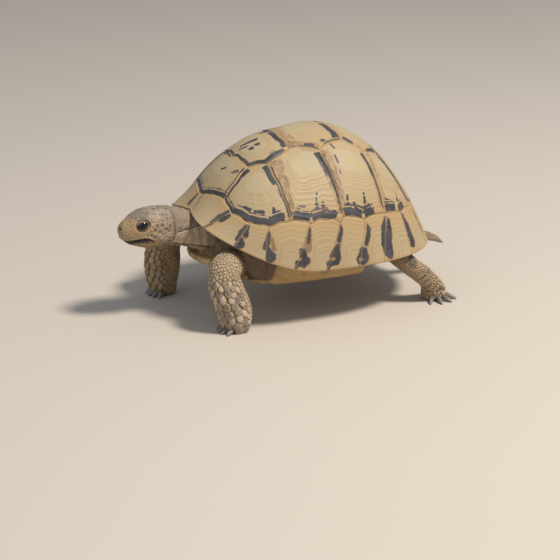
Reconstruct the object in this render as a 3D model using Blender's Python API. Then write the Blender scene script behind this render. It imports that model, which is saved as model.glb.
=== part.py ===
# A spur-thighed tortoise at life size, standing in mid-stride with its head out.
# The head faces -Y, the animal's left side is +X, and the soles stand on Z = 0.
# Sizes are in millimetres and degrees; new_mesh turns them into metres.
import bpy
import numpy as np
from math import cos, pi, radians, sin

# The whole animal
MM = 0.001
GAP = 0.3                        # clearance between two solids that touch
FLOOR = -20.5                    # level of the soles under the shell's own zero
ORIGIN_BACK = 5.77               # middle of the animal's length, behind the shell's own zero
NOSE_UP = 1.2                    # how far the shell tips back, in degrees

# Carapace. It is described on a disc: (side, back) run from -1 to 1, the rim is the unit
# circle, the front is back = -1, and each place on the disc is one point of the dome.
FRONT_REACH = 60.0
REAR_REACH = 88.6
HALF_WIDTH = 63.1
FRONT_POWER = 2.56               # above 2 the outline is squarer than an ellipse
REAR_POWER = 2.43
BULGE = -0.098                   # how full the sides of the dome are, and how that changes to the front
BULGE_FRONT = 0.076
CROWN = -0.061                   # the same for its height
CROWN_FRONT = 0.128
TOP = 97.1
RIM = 19.3                       # height of the rim at the bridge
RIM_FRONT_RISE = 29.6
FLARE = 1.4                      # how far the rim turns out, all round, in front and behind
FLARE_FRONT = 8.8
FLARE_REAR = 11.4
SCUTE_DEPTH = 2.0
RIM_TURN = 9.0                   # width of the underside of a marginal scute
RIM_EDGE = 1.0
RIM_LIFT = 1.5                   # its inner edge lies this far above the rim, and this far below at the bridge
BRIDGE_DROP = 2.5

# Corners where the seams meet, as (side, back) on the disc, on the left side
VERTEBRAL_CORNERS = [(0.316, -0.673), (0.234, -0.397), (0.305, -0.073), (0.287, 0.406), (0.236, 0.613)]
VERTEBRAL_POINTS = [(0.307, -0.272), (0.422, 0.178), (0.325, 0.508)]
MIDLINE_BOW = [-0.04, -0.02, 0.0, 0.02]
NUCHAL_CORNER = (0.030, -0.826)
MARGINAL_TOPS = [
    (0.446, -0.666), (0.593, -0.557), (0.685, -0.423), (0.787, -0.082), (0.797, 0.208),
    (0.728, 0.426), (0.611, 0.584), (0.502, 0.707), (0.349, 0.794), (0.170, 0.862),
]
COSTAL_ENDS = [(0.727, -0.234), (0.773, 0.238)]      # where costal seams meet the middle of a marginal
MARGINAL_RIMS = [3.0, 22.5, 41.5, 57.5, 74.0, 93.0, 112.0, 126.0, 142.0, 156.0, 168.0]

# Body inside the shell
BODY_REACH = (0.735, 0.05)       # how far the body goes out on the disc: all round, and added behind
BODY_CLEARANCE = 1.0             # room between the body and the plates around it
FRONT_POCKET = (-44.0, 56.0, 8.0, 40.0)      # where it starts along y, half width, middle z, half height
REAR_POCKET = (58.0, 58.0, 5.0, 33.0)

# Plastron: y and half width of its two lobes, and the profile of the bridge between them
PLATE = 2.8
BELLY = 4.8
FRONT_LOBE = [(-63.5, 7.0), (-61.5, 14.0), (-56.0, 22.5), (-48.0, 30.0), (-40.5, 35.5)]
REAR_LOBE = [(38.3, 41.0), (48.0, 37.5), (58.0, 33.5), (67.0, 29.5), (75.0, 24.5), (80.5, 18.0), (84.0, 11.0)]
BRIDGE = (-32.5, 38.0)
GULAR_RISE = 12.0
ANAL_RISE = 5.0
ANAL_NOTCH = 4.5

# Head and neck: (y, half width, top, bottom), from the shell to the snout
THROAT = [
    (-44.4, 17.0, 43.5, 20.5), (-52.0, 16.5, 45.0, 20.7), (-60.0, 15.0, 46.3, 22.5),
    (-66.0, 13.8, 48.6, 24.8), (-72.0, 12.8, 52.0, 26.6), (-79.0, 12.4, 54.2, 27.8),
    (-85.0, 13.0, 55.0, 28.0), (-91.0, 12.9, 55.2, 28.0), (-97.0, 11.7, 54.6, 28.5),
    (-102.0, 10.5, 53.1, 29.5), (-106.5, 9.0, 50.8, 31.0), (-110.0, 7.2, 47.9, 33.0),
    (-112.3, 5.2, 45.4, 35.6), (-113.2, 3.2, 43.6, 38.4),
]
NAPE = -79.0
HEAD_POWER = 2.3
MOUTH = [                        # outline of the lower jaw from the side, as (y, z), larger than the head
    (-116.0, 34.2), (-105.0, 35.4), (-97.5, 37.0), (-93.0, 34.0),
    (-86.0, 26.0), (-86.0, 20.0), (-116.0, 20.0),
]
EYE = (7.1, -99.6, 45.3)
EYE_RADIUS = 3.8
THROAT_SIDES = 16

# Limbs: (x, y, z, radius to the side, radius to the front) down the middle of each one
LEFT_FORELEG = [
    (33, -44.4, 22.8, 10, 9), (39, -50.5, 23.4, 9.6, 9.3), (43.5, -57.3, 21.5, 9.2, 10.2),
    (44.5, -58.2, 14, 9, 10.7), (45, -56.6, 6, 9, 10.9), (45.3, -53.4, -3, 9.2, 11.2),
    (45.3, -51.2, -11, 9.2, 10.6), (45, -50.2, -17, 8.4, 8.8), (44.8, -49.8, -20.5, 7, 7.2),
]
RIGHT_FORELEG = [
    (-33, -44.4, 22.8, 10, 9), (-39, -53, 23.8, 9.8, 9.4), (-42, -64, 20, 9.5, 10.8),
    (-42.3, -67.2, 12, 9.5, 11.8), (-42.3, -68.6, 4, 9.6, 12.2), (-42.3, -69, -4, 9.6, 11.8),
    (-42.3, -68.6, -11.5, 9.2, 10.4), (-42, -67.6, -17, 8.2, 8.6), (-42, -67.2, -20.5, 6.8, 7),
]
LEFT_HINDLEG = [
    (34.5, 59.2, 20, 8.2, 7.4), (38, 65.6, 15, 6.8, 6.6), (44.2, 73, 8, 6.6, 6.2),
    (46, 80.5, 1.5, 6.6, 5.9), (45.5, 87.5, -5.5, 7, 6.2), (43.5, 92.5, -12, 7.8, 7.4),
    (42, 94.5, -17, 8, 8.4), (41.8, 95, -20.5, 6.8, 7.4),
]
RIGHT_HINDLEG = [
    (-34.5, 59.2, 20, 8.3, 7.8), (-39, 65.2, 15.5, 7.2, 7), (-43, 67, 8, 7.4, 7.2),
    (-44.5, 65.5, 0.5, 7.6, 7), (-44.8, 63.5, -7, 7.8, 7.2), (-44.5, 62, -13, 8.2, 8),
    (-44, 61.2, -17.5, 8.2, 8.4), (-44, 61, -20.5, 7, 7.2),
]
LIMB_SIDES = 12
TAIL_SIDES = 10
LIMB_POWER = 2.2
FOOT_CUT = GAP / 2 / 75          # half the gap above a foot, as a share of a limb about 75 long
CLAW_ROOT = 3.0                  # how far inside the sole's edge a claw starts, and how far above the floor
CLAW_LIFT = 3.4
CLAW_TIP = 0.6
# Share of the way down at which the foot starts, the way its claws point in degrees from the
# front, their number, spread, length and radius
LIMBS = {
    "foreleg_left": (LEFT_FORELEG, 0.80, -4, 5, 17, 3.6, 1.6),
    "foreleg_right": (RIGHT_FORELEG, 0.80, 8, 5, 17, 3.6, 1.6),
    "hindleg_left": (LEFT_HINDLEG, 0.70, 112, 4, 23, 6.8, 1.8),
    "hindleg_right": (RIGHT_HINDLEG, 0.70, -22, 4, 23, 6.8, 1.8),
}
TAIL = [
    (0, 58.4, 21, 8, 5.5), (0, 76, 18, 6, 4.6), (0, 92, 14.5, 4.6, 4.2), (0, 106, 11, 3.6, 3.4),
    (0, 116, 7.4, 2.6, 2.5), (0, 122, 4.2, 1.5, 1.5), (0, 124.4, 2.4, 0.6, 0.6),
]


# ---------- the shell's shape ----------
def dome(side, back):
    """Points of the carapace's outer face at places on the disc."""
    side, back = np.broadcast_arrays(np.asarray(side, float), np.asarray(back, float))
    bearing = np.arctan2(side, -back)
    front, lateral = np.cos(bearing), np.abs(np.sin(bearing))
    share = np.hypot(side, back)
    arc = pi / 2 * share
    reach = np.where(front > 0, FRONT_REACH, REAR_REACH)
    power = np.where(front > 0, FRONT_POWER, REAR_POWER)
    outline = ((np.abs(front) / reach) ** power + (lateral / HALF_WIDTH) ** power) ** (-1 / power)
    bulge = BULGE + BULGE_FRONT * front
    crown = CROWN + CROWN_FRONT * front
    spread = (1 + bulge) * np.sin(arc) + bulge * np.sin(3 * arc)
    rise = (1 - crown) * np.cos(arc) + crown * np.cos(3 * arc)
    rim = RIM + RIM_FRONT_RISE * np.clip(front, 0, 1) ** 2
    turn = np.abs(bearing)
    flare = FLARE + FLARE_FRONT * np.exp(-((turn - 0.36) / 0.42) ** 2)
    flare = flare + FLARE_REAR * np.exp(-((turn - pi) / 0.9) ** 2)
    near_rim = np.clip((share - 0.72) / 0.28, 0, 1) ** 2
    radius = outline * spread + near_rim * flare
    height = rim + (TOP - rim) * rise
    x, y = radius * np.sin(bearing), -radius * np.cos(bearing)
    tip = radians(NOSE_UP)
    return np.stack([x, y * cos(tip) + height * sin(tip), height * cos(tip) - y * sin(tip)], -1)


def under_dome(side, back, depth):
    """The same points, moved inwards by depth at right angles to the surface."""
    step = 1e-3
    across = dome(side + step, back) - dome(side - step, back)
    along = dome(side, back + step) - dome(side, back - step)
    normal = np.cross(across, along)
    normal /= np.linalg.norm(normal, axis=-1, keepdims=True)
    return dome(side, back) - depth * normal


def on_rim(degrees):
    return np.sin(np.radians(degrees)), -np.cos(np.radians(degrees))


def rim_underside(degrees):
    """Inner edge of the rim's underside: it slopes up inside a free rim and down at the bridge."""
    edge = dome(*on_rim(degrees))
    bridge = np.exp(-((np.abs(degrees) - 90) / 26) ** 4)
    inward = edge * [1, 1, 0]
    inward = inward / np.linalg.norm(inward, axis=-1, keepdims=True)
    lift = RIM_LIFT - (RIM_LIFT + BRIDGE_DROP) * bridge
    return edge - inward * RIM_TURN + np.stack([0 * lift, 0 * lift, lift], -1)


# ---------- making meshes ----------
def new_mesh(name, points, faces):
    """A closed mesh in metres, with its faces turned outwards."""
    points = np.asarray(points, float) * MM
    volume = 0.0
    for face in faces:
        for second, third in zip(face[1:-1], face[2:]):
            volume += np.dot(points[face[0]], np.cross(points[second], points[third]))
    if volume < 0:
        faces = [face[::-1] for face in faces]
    mesh = bpy.data.meshes.new(name)
    mesh.from_pydata(points.tolist(), [], faces)
    mesh.shade_smooth()
    mesh.set_sharp_from_angle(angle=radians(40))
    return mesh


def loft(name, rings, ends=None, cap=None):
    """A skin over closed rings, closed by a face at each end, by a fan to each of two given
    points, or by the triangles of cap, which name places round a ring."""
    rings = np.asarray(rings, float)
    count, around = rings.shape[:2]
    index = np.arange(count * around).reshape(count, around)
    ahead = np.roll(index, -1, axis=1)
    faces = np.stack([index[:-1], ahead[:-1], ahead[1:], index[1:]], -1).reshape(-1, 4).tolist()
    points = rings.reshape(-1, 3)
    if cap:
        faces += [[int(index[0, i]) for i in corner[::-1]] for corner in cap]
        faces += [[int(index[-1, i]) for i in corner] for corner in cap]
    elif ends is None:
        faces += [index[0, ::-1].tolist(), index[-1].tolist()]
    else:
        points = np.vstack([points, ends])
        first, last = len(points) - 2, len(points) - 1
        faces += [[first, b, a] for a, b in zip(index[0].tolist(), ahead[0].tolist())]
        faces += [[last, a, b] for a, b in zip(index[-1].tolist(), ahead[-1].tolist())]
    return new_mesh(name, points, faces)


def place(name, mesh, material):
    """A visible solid of the tortoise."""
    obj = bpy.data.objects.new(name, mesh)
    obj.data.materials.clear()
    obj.data.materials.append(material)
    tortoise.objects.link(obj)
    obj.parent = stand
    return obj


def helper(name, mesh):
    """A cutter or an added piece, which is never seen by itself."""
    obj = bpy.data.objects.new(name, mesh)
    obj.hide_render = True
    obj.display_type = "WIRE"
    helpers.objects.link(obj)
    obj.parent = stand
    return obj


def combine(obj, other, operation):
    step = obj.modifiers.new(other.name, "BOOLEAN")
    step.operation = operation
    step.solver = "EXACT"
    step.object = other


def finish(name, colour, roughness):
    material = bpy.data.materials.new(name)
    material.use_nodes = True
    shader = material.node_tree.nodes["Principled BSDF"]
    shader.inputs["Base Color"].default_value = (*colour, 1)
    shader.inputs["Roughness"].default_value = roughness
    shader.inputs["Metallic"].default_value = 0.0
    return material


# ---------- scutes of the dome ----------
def mirrored(points):
    return [(-side, back) for side, back in reversed(points)]


def outline_of(corners, step=0.085):
    """Places along a polygon on the disc, evenly spaced, with every corner kept."""
    places = []
    for (side, back), (next_side, next_back) in zip(corners, corners[1:] + corners[:1]):
        count = max(1, round(float(np.hypot(next_side - side, next_back - back)) / step))
        for share in np.arange(count) / count:
            places.append((side + share * (next_side - side), back + share * (next_back - back)))
    return np.array(places)


def scute(name, corners, material):
    """One horn plate: its outline, shrunk by the seam, closed over an outer and an inner face."""
    rim = outline_of(corners)
    middle = rim.mean(axis=0)
    reach = np.linalg.norm(dome(*rim.T) - dome(*middle), axis=1)
    rim = rim + (middle - rim) * (GAP / reach)[:, None]
    half = middle + (rim - middle) * 0.5
    rings = [dome(*half.T), dome(*rim.T), under_dome(*rim.T, SCUTE_DEPTH), under_dome(*half.T, SCUTE_DEPTH)]
    ends = [dome(*middle), under_dome(*middle, SCUTE_DEPTH)]
    return place(name, loft(name, rings, ends), material)


def dome_scutes(material):
    a, b, c, d, e = VERTEBRAL_CORNERS
    ab, cd, de = VERTEBRAL_POINTS
    tops = MARGINAL_TOPS
    halves = [[NUCHAL_CORNER, a, b], [b, ab, c], [c, cd, d], [d, de, e], [e, tops[8], tops[9]]]
    bows = [(0.0, corner[1] + bow) for corner, bow in zip((b, c, d, e), MIDLINE_BOW)]
    for number, half in enumerate(halves):
        before = bows[number - 1:number] if number else []
        after = bows[number:number + 1]
        scute(f"vertebral_{number + 1}", half + after + mirrored(half) + before, material)
    costals = [
        [b, a, tops[0], tops[1], tops[2], COSTAL_ENDS[0], ab],
        [ab, COSTAL_ENDS[0], tops[3], tops[4], COSTAL_ENDS[1], cd, c],
        [cd, COSTAL_ENDS[1], tops[5], tops[6], de, d],
        [de, tops[6], tops[7], tops[8], e],
    ]
    for number, corners in enumerate(costals):
        scute(f"costal_left_{number + 1}", corners, material)
        scute(f"costal_right_{number + 1}", mirrored(corners), material)


# ---------- scutes of the rim ----------
def rim_scute(name, top, degrees, material, mirror=1):
    """A wedge along the rim: top is a line on the disc, degrees the bearings of its two rim corners."""
    top = np.array(top, float)
    length = np.concatenate([[0], np.cumsum(np.hypot(*np.diff(top, axis=0).T))])
    shares = [0.0]
    for start, end in zip(length[:-1], length[1:]):
        pieces = 3 if len(top) == 2 else 2
        shares += [(start + (end - start) * (i + 1) / pieces) / length[-1] for i in range(pieces)]
    shares = np.array(shares)
    width = np.linalg.norm(dome(*on_rim(degrees[0])) - dome(*on_rim(degrees[1])))
    inset = GAP / 2 / width
    shares = inset + shares * (1 - 2 * inset)
    upper = np.stack([np.interp(shares * length[-1], length, top[:, i]) for i in (0, 1)], -1)
    bearing = degrees[0] + shares * (degrees[1] - degrees[0])
    lower = np.stack(on_rim(bearing), -1)
    upper = upper + (lower - upper) * 0.02
    middle = (upper + lower) / 2
    edge = dome(*lower.T)
    inner = rim_underside(bearing)
    inward = (inner - edge) * [1, 1, 0] / RIM_TURN
    rings = np.stack([
        dome(*upper.T), dome(*middle.T), edge, edge + inward * RIM_EDGE - [0, 0, RIM_EDGE * 0.7],
        inner, under_dome(*upper.T, SCUTE_DEPTH),
    ], axis=1)
    wedge = [(0, 1, 5), (1, 4, 5), (1, 2, 4), (2, 3, 4)]
    return place(name, loft(name, rings * [mirror, 1, 1], cap=wedge), material)


def rim_scutes(material):
    tops = [NUCHAL_CORNER] + MARGINAL_TOPS
    for number in range(10):
        top = [tops[number], tops[number + 1]]
        if number == 0:
            top.insert(1, VERTEBRAL_CORNERS[0])
        if number == 3:
            top.insert(1, COSTAL_ENDS[0])
        if number == 5:
            top.insert(1, COSTAL_ENDS[1])
        degrees = (MARGINAL_RIMS[number], MARGINAL_RIMS[number + 1])
        rim_scute(f"marginal_left_{number + 1}", top, degrees, material)
        rim_scute(f"marginal_right_{number + 1}", top, degrees, material, mirror=-1)
    nuchal_top = [(-NUCHAL_CORNER[0], NUCHAL_CORNER[1]), NUCHAL_CORNER]
    rim_scute("nuchal", nuchal_top, (-MARGINAL_RIMS[0], MARGINAL_RIMS[0]), material)
    last = MARGINAL_TOPS[-1]
    tail_bearings = (MARGINAL_RIMS[-1], 360 - MARGINAL_RIMS[-1])
    rim_scute("supracaudal", [last, (-last[0], last[1])], tail_bearings, material)


# ---------- plastron ----------
def belly_height(y):
    front = np.clip((-y - 20) / 43.5, 0, None)
    rear = np.clip((y - 45) / 39, 0, None)
    return BELLY + GULAR_RISE * front ** 2 + ANAL_RISE * rear ** 1.5


def bridge_edge(y):
    """Where the bridge meets the underside of the rim, at a place along the body."""
    bearings = np.linspace(40, 140, 101)
    inner = rim_underside(bearings)
    return np.interp(y, inner[:, 1], inner[:, 0]) - GAP, np.interp(y, inner[:, 1], inner[:, 2]) - GAP


def plate_section(y, half_width=None):
    """Half of a cross-section from the midline out, as (x, z) points along the lower face."""
    low = belly_height(y)
    if half_width is not None:
        shares = np.array([0, 0.35, 0.7, 0.9, 1.0])
        return np.stack([shares * half_width, low + np.array([0, 0, 0.3, 0.9, 1.8])], -1)
    edge, top = bridge_edge(y)
    rise = top - low
    x = np.array([0, 0.42, 0.75, 0.88, 1.0]) * edge
    return np.stack([x, low + np.array([0, 0, 0.03, 0.30, 1.0]) * rise], -1)


def plate_ring(y, half_width=None, notch=0.0):
    low = plate_section(y, half_width)
    along = np.gradient(low, axis=0)
    along /= np.linalg.norm(along, axis=1, keepdims=True)
    high = low + PLATE * np.stack([-along[:, 1], along[:, 0]], -1)
    high[0, 0] = 0.0
    half = np.vstack([low, high[::-1]])
    other = half[1:-1][::-1] * [-1, 1]
    loop = np.vstack([half, other])
    back = y - notch * np.clip(1 - np.abs(loop[:, 0]) / 9, 0, 1)
    return np.stack([loop[:, 0], back, loop[:, 1]], -1)


def plastron(material):
    front = [plate_ring(y, width) for y, width in FRONT_LOBE]
    front += [plate_ring(y) for y in np.linspace(*BRIDGE, 8)]
    place("plastron_front", loft("plastron_front", front), material)
    last = len(REAR_LOBE) - 1
    rear = []
    for number, (y, width) in enumerate(REAR_LOBE):
        rear.append(plate_ring(y, width, ANAL_NOTCH * (number / last) ** 4))
    place("plastron_rear", loft("plastron_rear", rear), material)


# ---------- body inside the shell ----------
def tube_cutter(name, start, end, half_width, middle, half_height):
    bpy.ops.mesh.primitive_cylinder_add(vertices=40, radius=1, depth=1)
    made = bpy.context.object
    mesh = made.data
    bpy.data.objects.remove(made)
    obj = helper(name, mesh)
    obj.location = (0, (start + end) / 2 * MM, middle * MM)
    obj.rotation_euler = (pi / 2, 0, 0)
    obj.scale = (half_width * MM, half_height * MM, abs(end - start) * MM)
    return obj


def plate_top(x, y, around=6):
    """Highest level of the plastron's inner face near a place over it, looking along the body."""
    lobes = np.array(FRONT_LOBE + REAR_LOBE)
    levels = []
    for near in y + np.linspace(-around, around, 5):
        near = float(np.clip(near, lobes[0, 0], lobes[-1, 0]))
        on_bridge = FRONT_LOBE[-1][0] < near < REAR_LOBE[0][0]
        width = None if on_bridge else float(np.interp(near, lobes[:, 0], lobes[:, 1]))
        ring = plate_ring(near, width)
        outer = len(ring) // 2 + 1
        inner = ring[outer // 2:outer][::-1]
        levels.append(float(np.interp(abs(x), inner[:, 0], inner[:, 2])))
    return max(levels)


def trunk(material):
    side, back = on_rim(np.linspace(0, 360, 36, endpoint=False))
    reach = BODY_REACH[0] + BODY_REACH[1] * back
    depth = SCUTE_DEPTH + BODY_CLEARANCE
    shares = (0.3, 0.55, 0.78, 0.9, 1.0)
    rings = [under_dome(side * reach * share, back * reach * share, depth) for share in shares]
    last = rings[-1]
    for share in (1.0, 0.93, 0.84, 0.6, 0.3):
        low = last * [share, share, 0]
        low[:, 2] = [plate_top(x, y) + BODY_CLEARANCE for x, y in low[:, :2]]
        rings.append(low)
    ends = [under_dome(0.0, 0.0, depth), np.array([0, 0, plate_top(0, 0) + BODY_CLEARANCE])]
    body = place("trunk", loft("trunk", rings, ends), material)
    y, half_width, middle, half_height = FRONT_POCKET
    combine(body, tube_cutter("front_pocket", y, -120, half_width, middle, half_height), "DIFFERENCE")
    y, half_width, middle, half_height = REAR_POCKET
    combine(body, tube_cutter("rear_pocket", y, 150, half_width, middle, half_height), "DIFFERENCE")


# ---------- head, neck ----------
def smooth_path(stations, shares):
    """Values along a Catmull-Rom curve through the stations, at shares of the way along it."""
    stations = np.asarray(stations, float)
    padded = np.vstack([2 * stations[0] - stations[1], stations, 2 * stations[-1] - stations[-2]])
    at = np.clip(np.asarray(shares, float), 0, 1) * (len(stations) - 1)
    first = np.minimum(at.astype(int), len(stations) - 2)
    t = (at - first)[:, None]
    a, b, c, d = (padded[first + i] for i in range(4))
    return 0.5 * (2 * b + (c - a) * t + (2 * a - 5 * b + 4 * c - d) * t ** 2 + (3 * b - a - 3 * c + d) * t ** 3)


def squared_circle(angles, power):
    c, s = np.cos(angles), np.sin(angles)
    return np.sign(c) * np.abs(c) ** (2 / power), np.sign(s) * np.abs(s) ** (2 / power)


def throat_rings(rows):
    x, z = squared_circle(np.linspace(0, 2 * pi, THROAT_SIDES, endpoint=False), HEAD_POWER)
    rings = []
    for y, half_width, top, bottom in rows:
        across = half_width * x
        up = (top + bottom) / 2 + (top - bottom) / 2 * z
        rings.append(np.stack([across, np.full(THROAT_SIDES, y), up], -1))
    return rings


def throat_row(y):
    rows = np.array(THROAT)[::-1]
    return (y, *[float(np.interp(y, rows[:, 0], rows[:, i])) for i in (1, 2, 3)])


def prism(name, outline, half_width):
    sides = [[(x, y, z) for y, z in outline] for x in (-half_width, half_width)]
    return helper(name, loft(name, sides))


def ball(name, centre, radius, segments, rings):
    bpy.ops.mesh.primitive_uv_sphere_add(segments=segments, ring_count=rings, radius=radius * MM)
    made = bpy.context.object
    mesh = made.data
    bpy.data.objects.remove(made)
    mesh.name = name
    mesh.shade_smooth()
    return mesh, [value * MM for value in centre]


def head(skin, horn, wet):
    neck_rows = [row for row in THROAT if row[0] > NAPE] + [throat_row(NAPE + GAP)]
    place("neck", loft("neck", throat_rings(neck_rows)), skin)
    head_rows = [row for row in THROAT if row[0] <= NAPE]
    skull = place("head", loft("head", throat_rings(head_rows)), skin)
    jaw = place("lower_jaw", loft("lower_jaw", throat_rings(head_rows)), skin)
    wider = [(y + GAP, z + GAP) for y, z in MOUTH[:4]] + [(y + GAP, z) for y, z in MOUTH[4:]]
    combine(skull, prism("mouth_cut", wider, 20), "DIFFERENCE")
    combine(jaw, prism("jaw_block", MOUTH, 20), "INTERSECT")
    for side, sign in (("left", 1), ("right", -1)):
        centre = (sign * EYE[0], EYE[1], EYE[2])
        socket_mesh, location = ball(f"socket_{side}", centre, EYE_RADIUS + GAP, 16, 10)
        socket = helper(f"socket_{side}", socket_mesh)
        socket.location = location
        combine(skull, socket, "DIFFERENCE")
        eye_mesh, location = ball(f"eye_{side}", centre, EYE_RADIUS, 14, 8)
        eye = place(f"eye_{side}", eye_mesh, wet)
        eye.location = location


# ---------- limbs and tail ----------
def limb_rings(stations, shares, around=LIMB_SIDES):
    """Rings across a limb's middle line; the first radius is to the side, the second to the front."""
    shares = np.asarray(shares, float)
    path = smooth_path(stations, shares)
    step = 1e-3
    tangent = (smooth_path(stations, shares + step) - smooth_path(stations, shares - step))[:, :3]
    if shares[0] == 0:
        tangent[0] = [0, np.sign(stations[1][1] - stations[0][1]), 0]
    tangent /= np.linalg.norm(tangent, axis=1, keepdims=True)
    sideways = np.array([1.0, 0, 0]) - tangent * tangent[:, :1]
    sideways /= np.linalg.norm(sideways, axis=1, keepdims=True)
    forward = np.cross(tangent, sideways)
    c, s = squared_circle(np.linspace(0, 2 * pi, around, endpoint=False), LIMB_POWER)
    to_side = path[:, None, 3:4] * c[:, None] * sideways[:, None]
    to_front = path[:, None, 4:5] * s[:, None] * forward[:, None]
    return path[:, None, :3] + to_side + to_front


def claw(base, bearing, length, thickness):
    """A blunt curved horn, from inside the foot down to just over the floor."""
    way = np.array([sin(radians(bearing)), -cos(radians(bearing)), 0])
    across = np.array([way[1], -way[0], 0])
    drop = FLOOR + CLAW_TIP - base[2]
    angles = np.linspace(0, 2 * pi, 6, endpoint=False)
    circle = np.cos(angles)[:, None] * across + np.sin(angles)[:, None] * [0, 0, 1]
    rings = []
    for share, radius in ((0.0, 1.0), (0.45, 0.95), (0.8, 0.6), (1.0, 0.22)):
        middle = base + way * (length + CLAW_ROOT) * share + [0, 0, drop * share ** 1.6]
        rings.append(middle + thickness * radius * circle)
    return rings


def limb(name, stations, split, bearing, claws, spread, claw_length, thickness, material):
    upper = limb_rings(stations, np.linspace(0, split - FOOT_CUT, 8))
    place(name, loft(name, upper), material)
    lower = limb_rings(stations, np.linspace(split + FOOT_CUT, 1, 4))
    lower[-1, :, 2] = FLOOR
    foot_name = name.replace("leg", "foot")
    foot = place(foot_name, loft(foot_name, lower), material)
    centre = np.array(stations[-1][:3])
    start = stations[-1][3] - CLAW_ROOT
    for number in range(claws):
        heading = bearing + (number - (claws - 1) / 2) * spread
        way = np.array([sin(radians(heading)), -cos(radians(heading)), 0])
        root = centre + way * start + [0, 0, CLAW_LIFT]
        rings = claw(root, heading, claw_length, thickness)
        claw_name = f"{foot_name}_claw_{number + 1}"
        combine(foot, helper(claw_name, loft(claw_name, rings)), "UNION")


# ---------- assembly ----------
for old in list(bpy.data.objects):
    bpy.data.objects.remove(old, do_unlink=True)
tortoise = bpy.data.collections.new("tortoise")
helpers = bpy.data.collections.new("helpers")
bpy.context.scene.collection.children.link(tortoise)
bpy.context.scene.collection.children.link(helpers)
stand = bpy.data.objects.new("tortoise_stand", None)
stand.location = (0, -ORIGIN_BACK * MM, -FLOOR * MM)
tortoise.objects.link(stand)

scute_horn = finish("scute_horn", (0.52, 0.38, 0.19), 0.5)
belly_horn = finish("belly_horn", (0.47, 0.33, 0.14), 0.55)
grey_skin = finish("grey_skin", (0.30, 0.24, 0.17), 0.75)
wet_eye = finish("wet_eye", (0.02, 0.015, 0.01), 0.08)

dome_scutes(scute_horn)
rim_scutes(scute_horn)
plastron(belly_horn)
trunk(grey_skin)
head(grey_skin, belly_horn, wet_eye)
for limb_name, values in LIMBS.items():
    limb(limb_name, *values, grey_skin)
tail_rings = limb_rings(TAIL, np.linspace(0, 1, 9), TAIL_SIDES)
place("tail", loft("tail", tail_rings), grey_skin)
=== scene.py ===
import bpy
import numpy as np
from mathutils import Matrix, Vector
from mathutils.kdtree import KDTree


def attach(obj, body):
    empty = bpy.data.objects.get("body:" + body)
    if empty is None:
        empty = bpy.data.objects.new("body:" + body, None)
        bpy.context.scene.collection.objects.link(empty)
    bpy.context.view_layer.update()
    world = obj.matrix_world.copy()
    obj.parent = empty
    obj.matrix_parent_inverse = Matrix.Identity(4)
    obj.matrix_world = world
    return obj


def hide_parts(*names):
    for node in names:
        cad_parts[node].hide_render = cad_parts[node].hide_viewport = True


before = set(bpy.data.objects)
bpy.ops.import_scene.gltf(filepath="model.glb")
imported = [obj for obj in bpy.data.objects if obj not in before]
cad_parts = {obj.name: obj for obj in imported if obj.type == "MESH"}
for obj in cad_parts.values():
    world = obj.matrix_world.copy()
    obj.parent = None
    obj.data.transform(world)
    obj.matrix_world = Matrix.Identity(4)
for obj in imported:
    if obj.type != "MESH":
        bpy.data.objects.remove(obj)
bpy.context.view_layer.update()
print("frame loaded")

# Sizes below are millimetres in the shell's own frame; toModel moves them into the frame's metres.
mm = 0.001
shellZero = np.array([0.0, -5.77, 20.5])
fine = 1.0          # grid spacing is multiplied by this


def toModel(points):
    return (np.asarray(points) + shellZero) * mm


def easeStep(value, low, high):
    # 0 below low, 1 above high, 3t^2 - 2t^3 between them
    t = np.clip((value - low) / (high - low), 0, 1)
    return t * t * (3 - 2 * t)


def latticeNoise(points, size, seed):
    # random values on a cubic lattice of the given size, blended between the eight nearest with 3t^2 - 2t^3
    table = np.random.default_rng(seed).uniform(-1, 1, (32, 32, 32)).astype(np.float32)
    at = np.asarray(points) / size
    low = np.floor(at).astype(int)
    t = at - low
    t = t * t * (3 - 2 * t)
    total = 0.0
    for corner in range(8):
        step = np.array([corner & 1, corner >> 1 & 1, corner >> 2])
        index = (low + step) % 32
        weight = np.prod(np.where(step, t, 1 - t), axis=-1)
        total = total + weight * table[index[..., 0], index[..., 1], index[..., 2]]
    return total


def roughNoise(points, size, seed):
    # the same noise at one size, half and a quarter of it, with strengths 1, 1/2 and 1/4
    return sum(latticeNoise(points, size / 2 ** i, seed + i) / 2 ** i for i in range(3)) / 1.4


def strokeDistance(points, strokes):
    # least of (distance to a line between two marks, less the width there) over every pair in the strokes
    least = np.full(points.shape[:-1], 99.0)
    for stroke in strokes:
        stroke = np.asarray(stroke, float)
        for start, end in zip(stroke[:-1], stroke[1:]):
            line = end[:3] - start[:3]
            along = np.clip((points - start[:3]) @ line / max(line @ line, 1e-9), 0, 1)
            gap = np.linalg.norm(points - start[:3] - along[..., None] * line, axis=-1)
            least = np.minimum(least, gap - start[3] - along * (end[3] - start[3]))
    return least


def gridFaces(rows, columns, closed=False, first=0):
    # the four corners of each cell of a grid whose points are stored row by row
    index = np.arange(rows * columns).reshape(rows, columns) + first
    ahead = np.roll(index, -1, axis=1)
    quads = np.stack([index[:-1], index[1:], ahead[1:], ahead[:-1]], -1)
    return (quads if closed else quads[:, :-1]).reshape(-1, 4)


def fanFaces(ring, centre, flip=False):
    # triangles from each edge of a closed ring of point numbers to one more point
    ring = np.asarray(ring)
    ahead = np.roll(ring, -1)
    pair = (ahead, ring) if flip else (ring, ahead)
    return np.stack([*pair, np.full(len(ring), centre)], -1)


def endFans(rows, columns):
    # fans over the first and last row of a closed grid, to the two points stored after it
    first = np.arange(columns)
    return np.concatenate([fanFaces(first, rows * columns),
                           fanFaces(first + (rows - 1) * columns, rows * columns + 1, flip=True)])


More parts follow.
